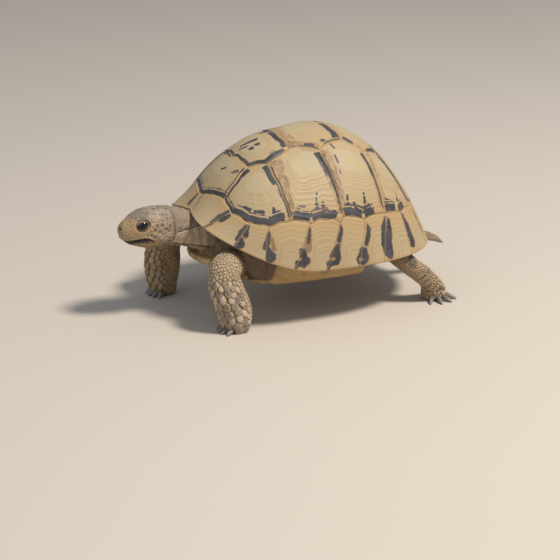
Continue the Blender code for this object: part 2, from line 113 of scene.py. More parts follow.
def closedGrid(grid, ends=None):
    # points, quads and triangles of a grid closed round its columns and at both ends
    rows, columns = grid.shape[:2]
    ends = [grid[0].mean(axis=0), grid[-1].mean(axis=0)] if ends is None else ends
    points = np.concatenate([grid.reshape(-1, 3), ends])
    return points, gridFaces(rows, columns, closed=True), endFans(rows, columns)


def makePiece(name, points, quads, triangles=None, values=None, uv=None, outward=True):
    # a mesh object at the origin; values are one number for each point, by attribute name
    triangles = np.zeros((0, 3), int) if triangles is None else np.asarray(triangles)
    quads = np.zeros((0, 4), int) if quads is None else np.asarray(quads)
    points = toModel(points.reshape(-1, 3))
    if outward:
        corners = np.concatenate([quads[:, :3], quads[:, [0, 2, 3]], triangles])
        a, b, c = (points[corners[:, i]] - points.mean(axis=0) for i in range(3))
        if np.einsum("ij,ij->i", a, np.cross(b, c)).sum() < 0:
            quads, triangles = quads[:, ::-1], triangles[:, ::-1]
    mesh = bpy.data.meshes.new(name)
    mesh.vertices.add(len(points))
    mesh.vertices.foreach_set("co", points.astype(np.float32).ravel())
    corners = np.concatenate([quads.ravel(), triangles.ravel()]).astype(np.int32)
    sizes = np.concatenate([np.full(len(quads), 4), np.full(len(triangles), 3)])
    mesh.loops.add(len(corners))
    mesh.loops.foreach_set("vertex_index", corners)
    mesh.polygons.add(len(sizes))
    mesh.polygons.foreach_set("loop_start", (np.cumsum(sizes) - sizes).astype(np.int32))
    mesh.update(calc_edges=True)
    mesh.validate()
    mesh.shade_smooth()
    for key, value in (values or {}).items():
        value = np.broadcast_to(value, len(points)) if np.ndim(value) == 0 else np.ravel(value)
        mesh.attributes.new(key, "FLOAT", "POINT").data.foreach_set("value", value.astype(np.float32))
    if uv is not None:
        mesh.uv_layers.new(name="OFBake").data.foreach_set("uv", uv[corners].astype(np.float32).ravel())
    piece = bpy.data.objects.new(name, mesh)
    bpy.context.scene.collection.objects.link(piece)
    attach(piece, "root")
    return piece


class Wire:
    # a socket of a material; arithmetic on it adds Math nodes
    def __init__(self, tree, socket=None):
        self.tree, self.socket = tree, socket

    def node(self, kind, settings=None, inputs=None, output=0):
        made = self.tree.nodes.new(kind)
        for key, value in (settings or {}).items():
            setattr(made, key, value)
        for key, value in (inputs.items() if isinstance(inputs, dict) else enumerate(inputs or [])):
            if isinstance(value, Wire):
                self.tree.links.new(value.socket, made.inputs[key])
            elif value is not None:
                made.inputs[key].default_value = value
        return Wire(self.tree, made.outputs[output])

    def math(self, operation, first, second=None):
        return self.node("ShaderNodeMath", {"operation": operation}, [first, second])

    def __add__(self, other):
        return self.math("ADD", self, other)

    def __sub__(self, other):
        return self.math("SUBTRACT", self, other)

    def __rsub__(self, other):
        return self.math("SUBTRACT", other, self)

    def __mul__(self, other):
        return self.math("MULTIPLY", self, other)

    __radd__, __rmul__ = __add__, __mul__

    def limited(self, low=0.0, high=1.0):
        return self.node("ShaderNodeMapRange", {"interpolation_type": "SMOOTHSTEP"},
                         [self, low, high, 0.0, 1.0])

    def attribute(self, name):
        return self.node("ShaderNodeAttribute", {"attribute_name": name}, output="Fac")

    def noise(self, size, detail=3.0, stretch=(1, 1, 1)):
        # fractal noise on the object's own coordinates, with features about size millimetres wide
        place = self.node("ShaderNodeTexCoord", output="Object")
        scaled = self.node("ShaderNodeVectorMath", {"operation": "MULTIPLY"}, [place, stretch])
        return self.node("ShaderNodeTexNoise", {},
                         {"Vector": scaled, "Scale": 1 / (size * mm), "Detail": detail})

    def cells(self, size):
        place = self.node("ShaderNodeTexCoord", output="Object")
        return self.node("ShaderNodeTexVoronoi", {}, {"Vector": place, "Scale": 1 / (size * mm)}, "Distance")

    def mix(self, share, first, second):
        # a colour that goes from first to second as share goes from 0 to 1
        first, second = ((*c, 1) if isinstance(c, tuple) else c for c in (first, second))
        return self.node("ShaderNodeMix", {"data_type": "RGBA"}, {0: share, 6: first, 7: second}, 2)

    def bump(self, strength, depth, invert=False):
        # a normal from this height, depth in millimetres
        inputs = {"Strength": strength, "Distance": depth * mm, "Height": self}
        return self.node("ShaderNodeBump", {"invert": invert}, inputs)


def newMaterial(name, build, **sockets):
    # build gets the starting wire and returns what feeds the shader's sockets
    material = bpy.data.materials.new(name)
    material.use_nodes = True
    tree = material.node_tree
    shader = tree.nodes["Principled BSDF"]
    for key, value in sockets.items():
        shader.inputs[key.replace("_", " ")].default_value = value
    for key, value in build(Wire(tree)).items():
        tree.links.new(value.socket, shader.inputs[key])
    return material


def setMaterial(piece, material):
    piece.data.materials.clear()
    piece.data.materials.append(material)
    return piece


shellForm = {
    "frontReach": 60.0, "rearReach": 88.6, "halfWidth": 63.1, "frontPower": 2.56, "rearPower": 2.43,
    "bulge": -0.098, "bulgeFront": 0.076, "crown": -0.061, "crownFront": 0.128,
    "top": 97.1, "rim": 19.3, "frontRise": 29.6,
    "flare": 1.4, "flareFront": 8.8, "flareRear": 11.4, "noseUp": 1.2,
    "seamWander": 0.0035, "underside": 9.0, "lift": 1.5, "bridgeDrop": 2.5,
}


def domePoint(side, back):
    # polar on a disc: out along a bearing by a sine of the share of the way to the rim, up by its cosine,
    # each with a little of the third harmonic, over an outline that is a squared oval
    form = shellForm
    side, back = np.broadcast_arrays(np.asarray(side, float), np.asarray(back, float))
    wander = form["seamWander"] * easeStep(1 - np.hypot(side, back), 0.0, 0.08)
    side = side + wander * np.sin(47 * back + 1.3) * np.sin(29 * side + 0.4)
    back = back + wander * np.sin(43 * side + 2.1) * np.cos(37 * back)
    bearing = np.arctan2(side, -back)
    front, lateral = np.cos(bearing), np.abs(np.sin(bearing))
    share = np.hypot(side, back)
    arc = np.pi / 2 * share
    reach = np.where(front > 0, form["frontReach"], form["rearReach"])
    power = np.where(front > 0, form["frontPower"], form["rearPower"])
    outline = ((np.abs(front) / reach) ** power + (lateral / form["halfWidth"]) ** power) ** (-1 / power)
    bulge = form["bulge"] + form["bulgeFront"] * front
    crown = form["crown"] + form["crownFront"] * front
    spread = (1 + bulge) * np.sin(arc) + bulge * np.sin(3 * arc)
    rise = (1 - crown) * np.cos(arc) + crown * np.cos(3 * arc)
    rim = form["rim"] + form["frontRise"] * np.clip(front, 0, 1) ** 2
    turn = np.abs(bearing)
    flare = form["flare"] + form["flareFront"] * np.exp(-((turn - 0.36) / 0.42) ** 2)
    flare = flare + form["flareRear"] * np.exp(-((turn - np.pi) / 0.9) ** 2)
    radius = outline * spread + np.clip((share - 0.72) / 0.28, 0, 1) ** 2 * flare
    height = rim + (form["top"] - rim) * rise
    x, y = radius * np.sin(bearing), -radius * np.cos(bearing)
    tip = np.radians(form["noseUp"])
    return np.stack([x, y * np.cos(tip) + height * np.sin(tip), height * np.cos(tip) - y * np.sin(tip)], -1)


def domeNormal(side, back):
    # cross product of the dome's two slopes
    step = 1e-3
    across = domePoint(side + step, back) - domePoint(side - step, back)
    along = domePoint(side, back + step) - domePoint(side, back - step)
    normal = np.cross(across, along)
    return normal / np.linalg.norm(normal, axis=-1, keepdims=True)


def onRim(degrees):
    return np.stack([np.sin(np.radians(degrees)), -np.cos(np.radians(degrees))], -1)


def rimUnderside(degrees, out=0.0):
    # inner edge of the rim's underside, raised inside a free rim and lowered at the bridge
    form = shellForm
    edge = domePoint(*onRim(degrees).T)
    bridge = np.exp(-((np.abs(degrees) - 90) / 26) ** 4)
    inward = edge * [1, 1, 0]
    inward = inward / np.linalg.norm(inward, axis=-1, keepdims=True)
    lift = form["lift"] - (form["lift"] + form["bridgeDrop"]) * bridge
    return edge - inward * (form["underside"] - out) + np.stack([0 * lift, 0 * lift, lift], -1)


# Where seams meet, as (side, back) on the disc, left side only
seams = {
    "spine": [(0.316, -0.673), (0.234, -0.397), (0.305, -0.073), (0.287, 0.406), (0.236, 0.613)],
    "points": [(0.307, -0.272), (0.422, 0.178), (0.325, 0.508)],
    "bow": [-0.04, -0.02, 0.0, 0.02],
    "nuchal": (0.030, -0.826),
    "tops": [(0.446, -0.666), (0.593, -0.557), (0.685, -0.423), (0.787, -0.082), (0.797, 0.208),
             (0.728, 0.426), (0.611, 0.584), (0.502, 0.707), (0.349, 0.794), (0.170, 0.862)],
    "ends": [(0.727, -0.234), (0.773, 0.238)],
    "rims": [3.0, 22.5, 41.5, 57.5, 74.0, 93.0, 112.0, 126.0, 142.0, 156.0, 168.0],
}


def alongOutline(corners, spacing):
    # places along a polygon on the disc, and how many edges have been passed at each
    corners = np.array(corners)
    ahead = np.roll(corners, -1, axis=0)
    length = np.linalg.norm(domePoint(*ahead.T) - domePoint(*corners.T), axis=1)
    counts = np.maximum(2, np.round(length / spacing)).astype(int)
    edge = np.repeat(np.arange(len(corners)), counts)
    share = np.concatenate([np.arange(n) / n for n in counts])
    return corners[edge] + (ahead - corners)[edge] * share[:, None], edge + share


def rounded(places, share):
    # low notes of a closed line: its Fourier series with the fast terms faded out
    spectrum = np.fft.fft(places[:, 0] + 1j * places[:, 1])
    turns = np.abs(np.fft.fftfreq(len(places)) * len(places))
    line = np.fft.ifft(spectrum * np.exp(-(turns / share) ** 2))
    return np.stack([line.real, line.imag], -1)


# Each scute of the dome: centre and size of its areola on the disc, the number and height in mm of its growth
# rings. Bands are (from, to) along the outline in edges, nearest and farthest mm from the seam at both ends,
# and how dark; spots are (side, back, half width in mm, ...) from end to end.
scuteGrid = {"spacing": 0.62, "rise": 0.40, "seamDepth": 0.5, "seamWidth": 0.55, "depth": 1.7}
vertebrals = {
    1: {"areola": (0.0, -0.53), "size": (0.46, 0.40), "rings": 12, "height": 0.09,
        "dark": [(0.0, 1.0, 0.5, 3.5, 3.3, 1), (0.1, 0.97, 4.3, 5.0, 5.0, 0.95),
                 (5.0, 6.0, 0.5, 3.3, 3.3, 1), (6.0, 7.0, 0.5, 3.0, 3.0, 1), (5.1, 5.9, 4.0, 4.8, 4.8, 0.9),
                 (6.0, 7.0, 4.0, 4.8, 4.8, 0.9), (4.0, 5.0, 0.4, 2.6, 2.6, 0.9),
                 (3.0, 4.0, 0.4, 2.0, 2.0, 0.9), (1.05, 1.97, 0.9, 1.8, 1.8, 0.9)],
        "brown": [(1.1, 1.9, 1.8, 3.4, 3.4, 0.5), (5.1, 5.9, 5.0, 9.0, 9.0, 0.35),
                  (4.1, 4.9, 2.6, 7.0, 7.0, 0.5)],
        "spots": [[(0.180, -0.51, 0.9), (0.205, -0.475, 1.2)], [(0.04, -0.56, 0.9), (0.07, -0.53, 0.8)],
                  [(0.245, -0.435, 0.8), (0.262, -0.425, 1.0)]]},
    2: {"areola": (0.035, -0.29), "size": (0.46, 0.48), "rings": 11, "height": 0.09,
        "dark": [(7.0, 7.97, 0.4, 1.8, 2.6, 0.95), (0.0, 1.0, 0.4, 3.0, 3.2, 1),
                 (1.0, 1.45, 0.4, 3.0, 4.6, 1), (1.4, 1.82, 0.4, 4.6, 2.2, 1),
                 (2.05, 2.97, 0.8, 4.4, 4.6, 1), (6.03, 7.0, 0.4, 1.8, 2.6, 1),
                 (5.0, 6.0, 0.4, 3.2, 2.6, 1), (4.1, 5.0, 0.4, 3.0, 3.2, 1), (3.0, 3.95, 0.8, 4.4, 4.2, 1),
                 (1.3, 1.6, 5.0, 5.8, 5.6, 0.7)],
        "brown": [(1.2, 1.9, 3.0, 5.0, 5.0, 0.3)],
        "spots": [[(-0.022, -0.345, 1.1), (0.024, -0.245, 1.6)], [(0.008, -0.372, 0.7), (0.044, -0.325, 0.9)],
                  [(0.100, -0.316, 1.2), (0.104, -0.304, 1.3)], [(0.092, -0.268, 1.0), (0.103, -0.250, 1.4)],
                  [(0.305, -0.255, 1.6), (0.298, -0.205, 2.2), (0.322, -0.140, 1.4)],
                  [(-0.05, -0.17, 1.0), (0.0, -0.09, 1.8)]]},
    3: {"areola": (0.0, 0.15), "size": (0.48, 0.46), "rings": 14, "height": 0.07,
        "dark": [(2.05, 2.97, 0.6, 6.0, 5.4, 1), (3.1, 3.95, 0.6, 5.0, 5.6, 1),
                 (0.50, 0.86, 0.5, 3.0, 3.2, 0.95), (0.0, 1.0, 0.4, 1.1, 1.1, 0.8),
                 (4.0, 5.0, 0.4, 3.0, 3.0, 0.9), (5.0, 6.0, 0.4, 3.0, 3.0, 0.9),
                 (1.3, 1.95, 0.4, 1.0, 1.8, 0.9)],
        "brown": [(0.0, 1.0, 0.8, 4.6, 4.2, 1), (5.0, 6.0, 0.8, 3.6, 3.6, 0.9), (7.0, 8.0, 0.8, 7.0, 7.0, 1),
                  (6.0, 7.0, 0.8, 7.0, 7.0, 0.8), (1.1, 1.9, 0.8, 2.2, 2.2, 0.4)],
        "spots": [[(0.342, 0.25, 1.3), (0.368, 0.333, 2.0)], [(-0.352, 0.27, 1.4), (-0.36, 0.32, 1.2)]]},
    4: {"areola": (0.0, 0.51), "size": (0.48, 0.46), "rings": 12, "height": 0.07,
        "dark": [(0.0, 0.55, 0.5, 4.4, 3.2, 0.9), (1.25, 2.0, 0.5, 2.0, 4.2, 1),
                 (2.0, 2.6, 0.5, 3.4, 1.6, 0.9), (5.3, 6.0, 0.5, 3.0, 4.2, 0.9),
                 (4.0, 4.6, 0.5, 3.6, 2.2, 1), (3.4, 4.0, 0.5, 2.2, 3.6, 0.9)],
        "brown": [(0.2, 1.1, 0.5, 4.0, 3.0, 0.9), (5.0, 5.7, 0.5, 3.0, 3.4, 0.9),
                  (7.0, 8.0, 0.7, 3.6, 3.6, 0.6)],
        "spots": []},
    5: {"areola": (0.0, 0.68), "size": (0.40, 0.32), "rings": 13, "height": 0.08,
        "dark": [(0.05, 0.95, 0.5, 3.0, 2.0, 1), (5.05, 5.95, 0.5, 2.0, 3.0, 1),
                 (6.4, 7.0, 0.5, 1.6, 3.0, 0.9), (1.2, 1.8, 0.6, 3.6, 3.4, 1), (3.2, 3.8, 0.6, 3.4, 3.6, 1),
                 (2.3, 2.7, 0.6, 3.8, 3.8, 0.9)],
        "brown": [(4.0, 4.9, 0.6, 2.8, 2.8, 0.5)],
        "spots": []},
}
costals = {
    1: {"areola": (0.395, -0.385), "size": (0.36, 0.40), "rings": 15, "height": 0.125,
        "dark": [(0.04, 0.32, 0.6, 4.2, 3.4, 1), (0.25, 0.98, 0.6, 2.6, 2.0, 1), (1.0, 2.0, 0.6, 2.0, 2.4, 1),
                 (1.05, 2.0, 3.1, 3.9, 4.0, 0.95), (2.0, 3.0, 0.8, 4.4, 5.0, 1),
                 (2.0, 3.0, 6.0, 6.9, 6.9, 0.95),
                 (3.0, 4.0, 0.8, 5.0, 5.0, 1), (3.0, 3.96, 6.0, 6.8, 6.8, 0.9), (4.0, 4.72, 0.8, 6.6, 6.4, 1),
                 (5.0, 5.62, 0.4, 1.3, 1.9, 0.95), (5.58, 5.98, 0.4, 4.0, 4.4, 1)],
        "brown": [(1.3, 2.0, 5.0, 6.0, 6.0, 0.5), (2.0, 3.0, 7.6, 8.6, 8.6, 0.4),
                  (0.3, 0.9, 2.8, 4.5, 4.5, 0.3), (5.0, 5.6, 1.2, 2.6, 3.0, 0.5)],
        "spots": [[(0.478, -0.537, 0.8), (0.519, -0.508, 1.0)], [(0.553, -0.480, 1.0), (0.588, -0.425, 1.2)],
                  [(0.600, -0.345, 0.5), (0.632, -0.348, 1.4)],
                  [(0.638, -0.318, 1.0), (0.646, -0.305, 1.1)]]},
    2: {"areola": (0.475, 0.02), "size": (0.34, 0.58), "rings": 11, "height": 0.17,
        "dark": [(1.08, 1.94, 0.8, 5.4, 5.6, 1), (2.14, 2.86, 0.8, 5.2, 5.8, 1),
                 (1.5, 1.9, 5.9, 7.4, 6.8, 0.95), (2.2, 2.7, 6.1, 7.6, 8.4, 0.95),
                 (2.3, 2.5, 8.8, 10.2, 10.2, 0.9), (1.15, 1.5, 6.2, 7.4, 7.2, 0.9),
                 (0.1, 0.95, 0.4, 1.4, 1.2, 0.7), (4.04, 4.6, 0.4, 1.3, 2.8, 0.85),
                 (4.55, 4.96, 0.4, 4.4, 5.2, 1)],
        "brown": [(0.02, 0.98, 1.2, 10.0, 3.0, 0.95), (4.04, 4.7, 0.8, 3.2, 4.8, 0.9),
                  (5.1, 5.7, 0.5, 1.6, 2.0, 0.5)],
        "spots": [[(0.685, 0.013, 0.5), (0.735, 0.0, 1.2)], [(0.718, 0.067, 0.7), (0.75, 0.062, 1.1)],
                  [(0.682, -0.165, 0.7), (0.698, -0.105, 1.0)], [(0.70, -0.185, 0.9), (0.72, -0.15, 1.2)],
                  [(0.668, 0.028, 0.9), (0.672, 0.03, 0.9)]]},
    3: {"areola": (0.455, 0.39), "size": (0.34, 0.58), "rings": 12, "height": 0.11,
        "dark": [(1.05, 1.84, 0.8, 6.0, 6.2, 1), (2.05, 2.54, 0.8, 5.8, 5.4, 1),
                 (1.1, 1.85, 6.7, 8.4, 8.2, 0.95), (2.1, 2.5, 6.3, 7.6, 7.4, 0.9),
                 (3.04, 3.6, 0.4, 1.2, 2.4, 0.85), (3.55, 3.96, 0.4, 3.2, 3.8, 1),
                 (0.1, 0.8, 0.4, 1.4, 1.0, 0.7)],
        "brown": [(0.02, 0.95, 0.8, 6.4, 3.0, 0.95), (3.04, 3.7, 0.8, 3.0, 3.6, 0.9)],
        "spots": [[(0.668, 0.297, 0.5), (0.712, 0.288, 1.1)], [(0.690, 0.345, 0.8), (0.705, 0.35, 1.0)],
                  [(0.612, 0.433, 0.5), (0.665, 0.433, 1.1)], [(0.643, 0.458, 0.8), (0.66, 0.465, 0.9)],
                  [(0.37, 0.30, 0.7), (0.40, 0.31, 0.8)], [(0.46, 0.285, 0.7), (0.50, 0.29, 0.6)],
                  [(0.55, 0.28, 0.5), (0.57, 0.285, 0.6)]]},
    4: {"areola": (0.335, 0.63), "size": (0.36, 0.48), "rings": 14, "height": 0.09,
        "dark": [(1.06, 1.70, 0.8, 5.8, 5.8, 1), (1.86, 2.40, 0.8, 5.6, 5.6, 1),
                 (1.08, 1.7, 6.4, 7.8, 7.6, 0.9), (1.9, 2.35, 6.2, 7.4, 7.2, 0.8),
                 (3.05, 3.95, 0.4, 2.0, 2.4, 0.9)],
        "brown": [(0.05, 0.95, 0.8, 4.6, 3.0, 0.9), (3.05, 3.95, 2.0, 3.6, 4.0, 0.6)],
        "spots": [[(0.538, 0.590, 0.6), (0.522, 0.624, 0.8)], [(0.426, 0.677, 0.5), (0.454, 0.684, 1.0)]]},
}


def scuteOutlines():
    a, b, c, d, e = seams["spine"]
    ab, cd, de = seams["points"]
    tops, ends = seams["tops"], seams["ends"]
    bows = [(0.0, corner[1] + bow) for corner, bow in zip((b, c, d, e), seams["bow"])]
    halves = [[seams["nuchal"], a, b], [b, ab, c], [c, cd, d], [d, de, e], [e, tops[8], tops[9]]]
    spine = []
    for number, half in enumerate(halves):
        other = [(-side, back) for side, back in reversed(half)]
        spine.append(half + bows[number:number + 1] + other + (bows[number - 1:number] if number else []))
    flank = [[b, a, tops[0], tops[1], tops[2], ends[0], ab], [ab, ends[0], tops[3], tops[4], ends[1], cd, c],
             [cd, ends[1], tops[5], tops[6], de, d], [de, tops[6], tops[7], tops[8], e]]
    return spine, flank


def nearestEdge(points, line, passed, first, last):
    # distance to the outline between two corners, and how many edges have been passed at the nearest place
    chosen = (passed >= first) & (passed <= last)
    line, passed = line[chosen], passed[chosen]
    least, place = np.full(points.shape[:-1], 99.0), np.zeros(points.shape[:-1])
    for start, end, low, high in zip(line[:-1], line[1:], passed[:-1], passed[1:]):
        way = end - start
        share = np.clip((points - start) @ way / (way @ way), 0, 1)
        gap = np.linalg.norm(points - start - share[..., None] * way, axis=-1)
        place = np.where(gap < least, low + share * (high - low), place)
        least = np.minimum(least, gap)
    return least, place


def scuteMarks(points, line, passed, ridge, marks, mirror, seed):
    # dark and brown masks: 1 inside a band or spot and 0 outside, by distance from the edge that each band
    # follows; noise drawn out across the growth rings makes the edges ragged, a painted sheen on the ring
    # crests breaks up the dark bands and spots, and brown bands are thin lines beside the seam
    gentle = 0.22 * roughNoise(points, 2.2, seed + 6)
    # painted sheen on the ring crests, which thins the dark marks there
    crestSheen = 0.9 * easeStep(ridge, 0.60, 0.86)
    found, masks = {}, []
    for key in ("dark", "brown"):
        mask = np.zeros(points.shape[:-1])
        for start, end, near, farStart, farEnd, strength in marks[key]:
            span = (int(start), int(np.ceil(end)))
            if span not in found:
                gap, place = nearestEdge(points, line, passed, *span)
                drawn = np.stack([place * 14, gap * 0.35, 0 * gap], -1)
                ragged = 0.5 * latticeNoise(drawn, 1.0, seed) + 0.4 * roughNoise(points, 1.6, seed + 5)
                thread = 0.5 + 0.5 * np.sin(gap * 5.2 + 2.2
                                            * latticeNoise(drawn * [0.5, 0.6, 1], 1.0, seed + 7))
                thread = easeStep(thread + 0.8 * latticeNoise(drawn * [1.4, 1.5, 1], 1.0, seed + 8), 0.25,
                                  0.95)
                found[span] = gap, place, ragged, thread
            gap, place, ragged, thread = found[span]
            share = np.clip((place - start) / (end - start), 0, 1)
            far = farStart + share * (farEnd - farStart)
            length = np.linalg.norm(line[passed.searchsorted(span[1])]
                                    - line[passed.searchsorted(span[1] - 1)])
            ends = np.minimum(place - start, end - place) * length - 0.25 + 0.9 * ragged
            inside = np.minimum(np.minimum(ends, gap - near), far + 0.4 * ragged - gap) + gentle
            inside = strength * easeStep(inside, -0.2, 0.2)
            if key == "brown":
                inside = inside * (0.25 + 0.75 * thread)
            else:
                inside = inside * (1 - (0.6 if near > 3 else 0.35) * crestSheen)
            mask = np.maximum(mask, inside)
        masks.append(mask)
    strokes = [[(*domePoint(mirror * side, back), width) for side, back, width in spot]
               for spot in marks["spots"]]
    if strokes:
        ragged = 0.6 * roughNoise(points, 1.6, seed + 5)
        spots = easeStep(0.5 * ragged - strokeDistance(points, strokes), -0.35, 0.05)
        masks[0] = np.maximum(masks[0], spots * (1 - crestSheen))
    return masks


def domeScute(name, node, corners, marks, mirror=1, seed=0):
    # rings from the middle of the areola to its edge and on to the seam; each ring is the areola's outline
    # blended with the scute's, and the growth ridges are a rounded saw along the way out
    grid = scuteGrid
    places, passed = alongOutline(corners, grid["spacing"] * fine)
    middle = places.mean(axis=0)
    centre = np.array(marks["areola"])
    areola = centre + rounded(places - middle, 3.2) * marks["size"]
    reach = np.linalg.norm(domePoint(*places.T) - domePoint(*areola.T), axis=1).mean()
    inner = max(4, int(reach * 0.5 / (grid["rise"] * fine) / 1.6))
    outer = max(8, int(reach / (grid["rise"] * fine)))
    growth = np.concatenate([-1 + (np.arange(inner) + 0.5) / inner, np.linspace(0, 1, outer)])
    inAreola = np.clip(1 + growth, 0, 1)[:, None, None]
    outward = np.clip(growth, 0, 1)[:, None, None]
    onDisc = centre + (areola - centre) * inAreola + (places - areola) * outward
    onDisc = onDisc * [mirror, 1]
    base = domePoint(onDisc[..., 0], onDisc[..., 1])
    normal = domeNormal(onDisc[..., 0], onDisc[..., 1])
    fromSeam = np.linalg.norm(base - base[-1], axis=-1)
    grown = np.broadcast_to(growth[:, None], fromSeam.shape)
    wander = 0.3 * latticeNoise(np.stack([grown * 9, 0 * grown, 0 * grown], -1), 1.0, seed + 19)
    phase = (marks["rings"] * np.clip(grown, 0, 1) ** 0.92 + wander
             + 0.10 * latticeNoise(base, 16.0, seed + 20))
    ridge = 0.5 + 0.5 * np.cos(2 * np.pi * phase + 0.8 * np.sin(2 * np.pi * phase))
    swell = 0.55 + 0.45 * roughNoise(base, 14.0, seed + 30)
    fade = easeStep(grown, -0.02, 0.12)
    ripple = 0.10 * latticeNoise(np.stack([passed * 5 + 0 * fromSeam, fromSeam / 9, 0 * fromSeam], -1), 1.0,
                                 seed + 40)
    relief = marks["height"] * 2 * (ridge - 0.5) * swell * fade + ripple * fade * marks["height"] * 6
    relief = (relief + 0.05 * roughNoise(base, 1.3, seed + 50) * (1 - fade)
              + 0.18 * (1 - easeStep(grown, -0.1, 0.25)))
    dip = np.exp(-(fromSeam / grid["seamWidth"]) ** 2)
    relief = relief * (1 - dip) - grid["seamDepth"] * dip - 0.15 * np.exp(-(fromSeam / 1.6) ** 2)
    top = base + normal * relief[..., None]
    line, linePassed = np.concatenate([base[-1], base[-1][:1]]), np.append(passed, float(len(corners)))
    dark, brown = scuteMarks(base, line, linePassed, ridge * fade, marks, mirror, seed)
    skirt = base[-1] - normal[-1] * grid["depth"]
    crown = domePoint(*(centre * [mirror, 1])) + domeNormal(*(centre * [mirror, 1])) * relief[0].mean()
    below = domePoint(*(middle * [mirror, 1])) - domeNormal(*(middle * [mirror, 1])) * grid["depth"]
    columns = fromSeam.shape[1]
    solid = closedGrid(np.concatenate([top, skirt[None]]), [crown, below])
    extra = np.zeros(columns + 2)

    def full(value, last=0.0):
        extra[:] = last
        extra[columns] = np.broadcast_to(value, fromSeam.shape)[0].mean()
        return np.concatenate([np.broadcast_to(value, fromSeam.shape).ravel(), extra])

    values = {"dark": full(dark), "brown": full(brown),
              "ridge": full(0.5 + (ridge - 0.5) * fade * (0.5 + 0.5 * swell)),
              "seam": full(np.exp(-(fromSeam / 0.42) ** 2), 1.0),
              "areola": full(1 - easeStep(grown, -0.15, 0.12)),
              "margin": full(easeStep(grown, 0.35, 1.0))}
    piece = makePiece(name, *solid, values)
    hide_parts(node)
    return piece


def marginalSides(number):
    # the corners of a marginal's upper seam, and the bearings of its two ends on the rim
    tops = [seams["nuchal"]] + seams["tops"]
    between = {1: [seams["spine"][0]], 4: [seams["ends"][0]], 6: [seams["ends"][1]]}.get(number, [])
    return [tops[number - 1], *between, tops[number]], seams["rims"][number - 1:number + 1]


def rimPlace(top, degrees, share, down):
    # straight on the disc from a place on the scute's upper seam to one on the rim
    top = np.array(top)
    length = np.concatenate([[0], np.cumsum(np.hypot(*np.diff(top, axis=0).T))])
    upper = np.stack([np.interp(share * length[-1], length, top[:, i]) for i in (0, 1)], -1)
    bearing = degrees[0] + share * (degrees[1] - degrees[0])
    return upper + (onRim(bearing) - upper) * np.asarray(down)[..., None], bearing


# Marks on the seams between marginals: (mm behind the seam, share of the way down, half width in mm)
marginalForm = {"across": 0.55, "down": 0.42, "rings": 10, "height": 0.06, "seamDepth": 0.45,
                "seamWidth": 0.5, "lip": 1.0}
seamMarks = {
    1: [[(0.9, 0.15, 0.6), (0.9, 0.75, 0.8)]],
    2: [[(-1.5, 0.06, 0.8), (-1.5, 0.35, 1.3), (-1.0, 0.70, 0.5)], [(2.0, 0.12, 0.8), (2.0, 0.42, 1.3)],
        [(0.6, 0.3, 0.2), (0.4, 0.97, 0.4)]],
    3: [[(-0.6, 0.10, 0.5), (-1.4, 0.40, 1.3), (-1.0, 0.70, 0.9)], [(1.0, 0.12, 0.4), (2.6, 0.48, 1.2)],
        [(1.4, 0.62, 0.8), (2.8, 0.84, 2.0), (1.2, 0.93, 1.6)]],
    4: [[(0.9, 0.18, 0.7), (0.0, 0.45, 1.2), (-0.6, 0.62, 1.0)], [(0.8, 0.6, 0.6), (3.3, 0.85, 2.9)]],
    5: [[(0.6, 0.10, 0.3), (1.5, 0.22, 0.6), (2.6, 0.40, 0.7)],
        [(0.6, 0.60, 1.6), (2.6, 0.72, 2.0), (4.4, 0.80, 2.6)],
        [(0.0, 0.86, 1.4), (4.0, 0.86, 1.8)], [(0.2, 0.88, 0.9), (0.0, 0.97, 0.7)]],
    6: [[(1.0, 0.10, 0.4), (2.6, 0.22, 0.9), (3.4, 0.45, 1.0)], [(3.2, 0.55, 1.2), (0.4, 0.72, 1.7)],
        [(2.6, 0.64, 2.2), (4.8, 0.80, 2.0)], [(0.2, 0.88, 1.5), (4.6, 0.86, 2.0)],
        [(0.2, 0.9, 0.8), (0.4, 0.99, 0.6)]],
    7: [[(1.8, 0.14, 0.5), (3.3, 0.27, 1.2), (2.9, 0.55, 1.2)], [(1.2, 0.70, 2.4), (3.4, 0.86, 2.2)],
        [(0.8, 0.70, 1.8), (-1.4, 0.84, 1.3)], [(-0.6, 0.93, 0.9), (3.0, 0.92, 1.6)]],
    8: [[(-1.0, 0.10, 0.7), (-1.8, 0.32, 1.9), (-0.6, 0.66, 1.9), (1.2, 0.84, 1.3)],
        [(2.2, 0.14, 0.8), (3.2, 0.38, 1.6), (3.4, 0.62, 1.7), (4.4, 0.88, 2.3)]],
    9: [[(0.5, 0.06, 0.7), (2.2, 0.36, 1.7), (3.8, 0.78, 2.3)]],
    10: [[(-0.2, 0.10, 0.3), (2.8, 0.72, 0.6)]],
    11: [[(-0.8, 0.2, 0.4), (-1.2, 0.7, 1.2)]],
}
seamBrown = {
    4: [[(2.4, 0.30, 0.5), (5.2, 0.62, 1.1)]],
    5: [[(2.2, 0.20, 0.7), (5.2, 0.56, 1.1)], [(1.6, 0.3, 1.0), (3.0, 0.56, 1.4)]],
    6: [[(2.2, 0.3, 0.9), (4.6, 0.52, 1.2)]],
    8: [[(0.4, 0.10, 1.2), (0.8, 0.60, 1.8)]],
}
seamPale = {5: [[(1.2, 0.76, 0.5), (-0.6, 0.76, 0.6)]], 6: [[(2.4, 0.79, 0.9), (0.6, 0.79, 0.6)]],
            7: [[(0.6, 0.86, 0.9), (-0.4, 0.86, 0.7)]]}


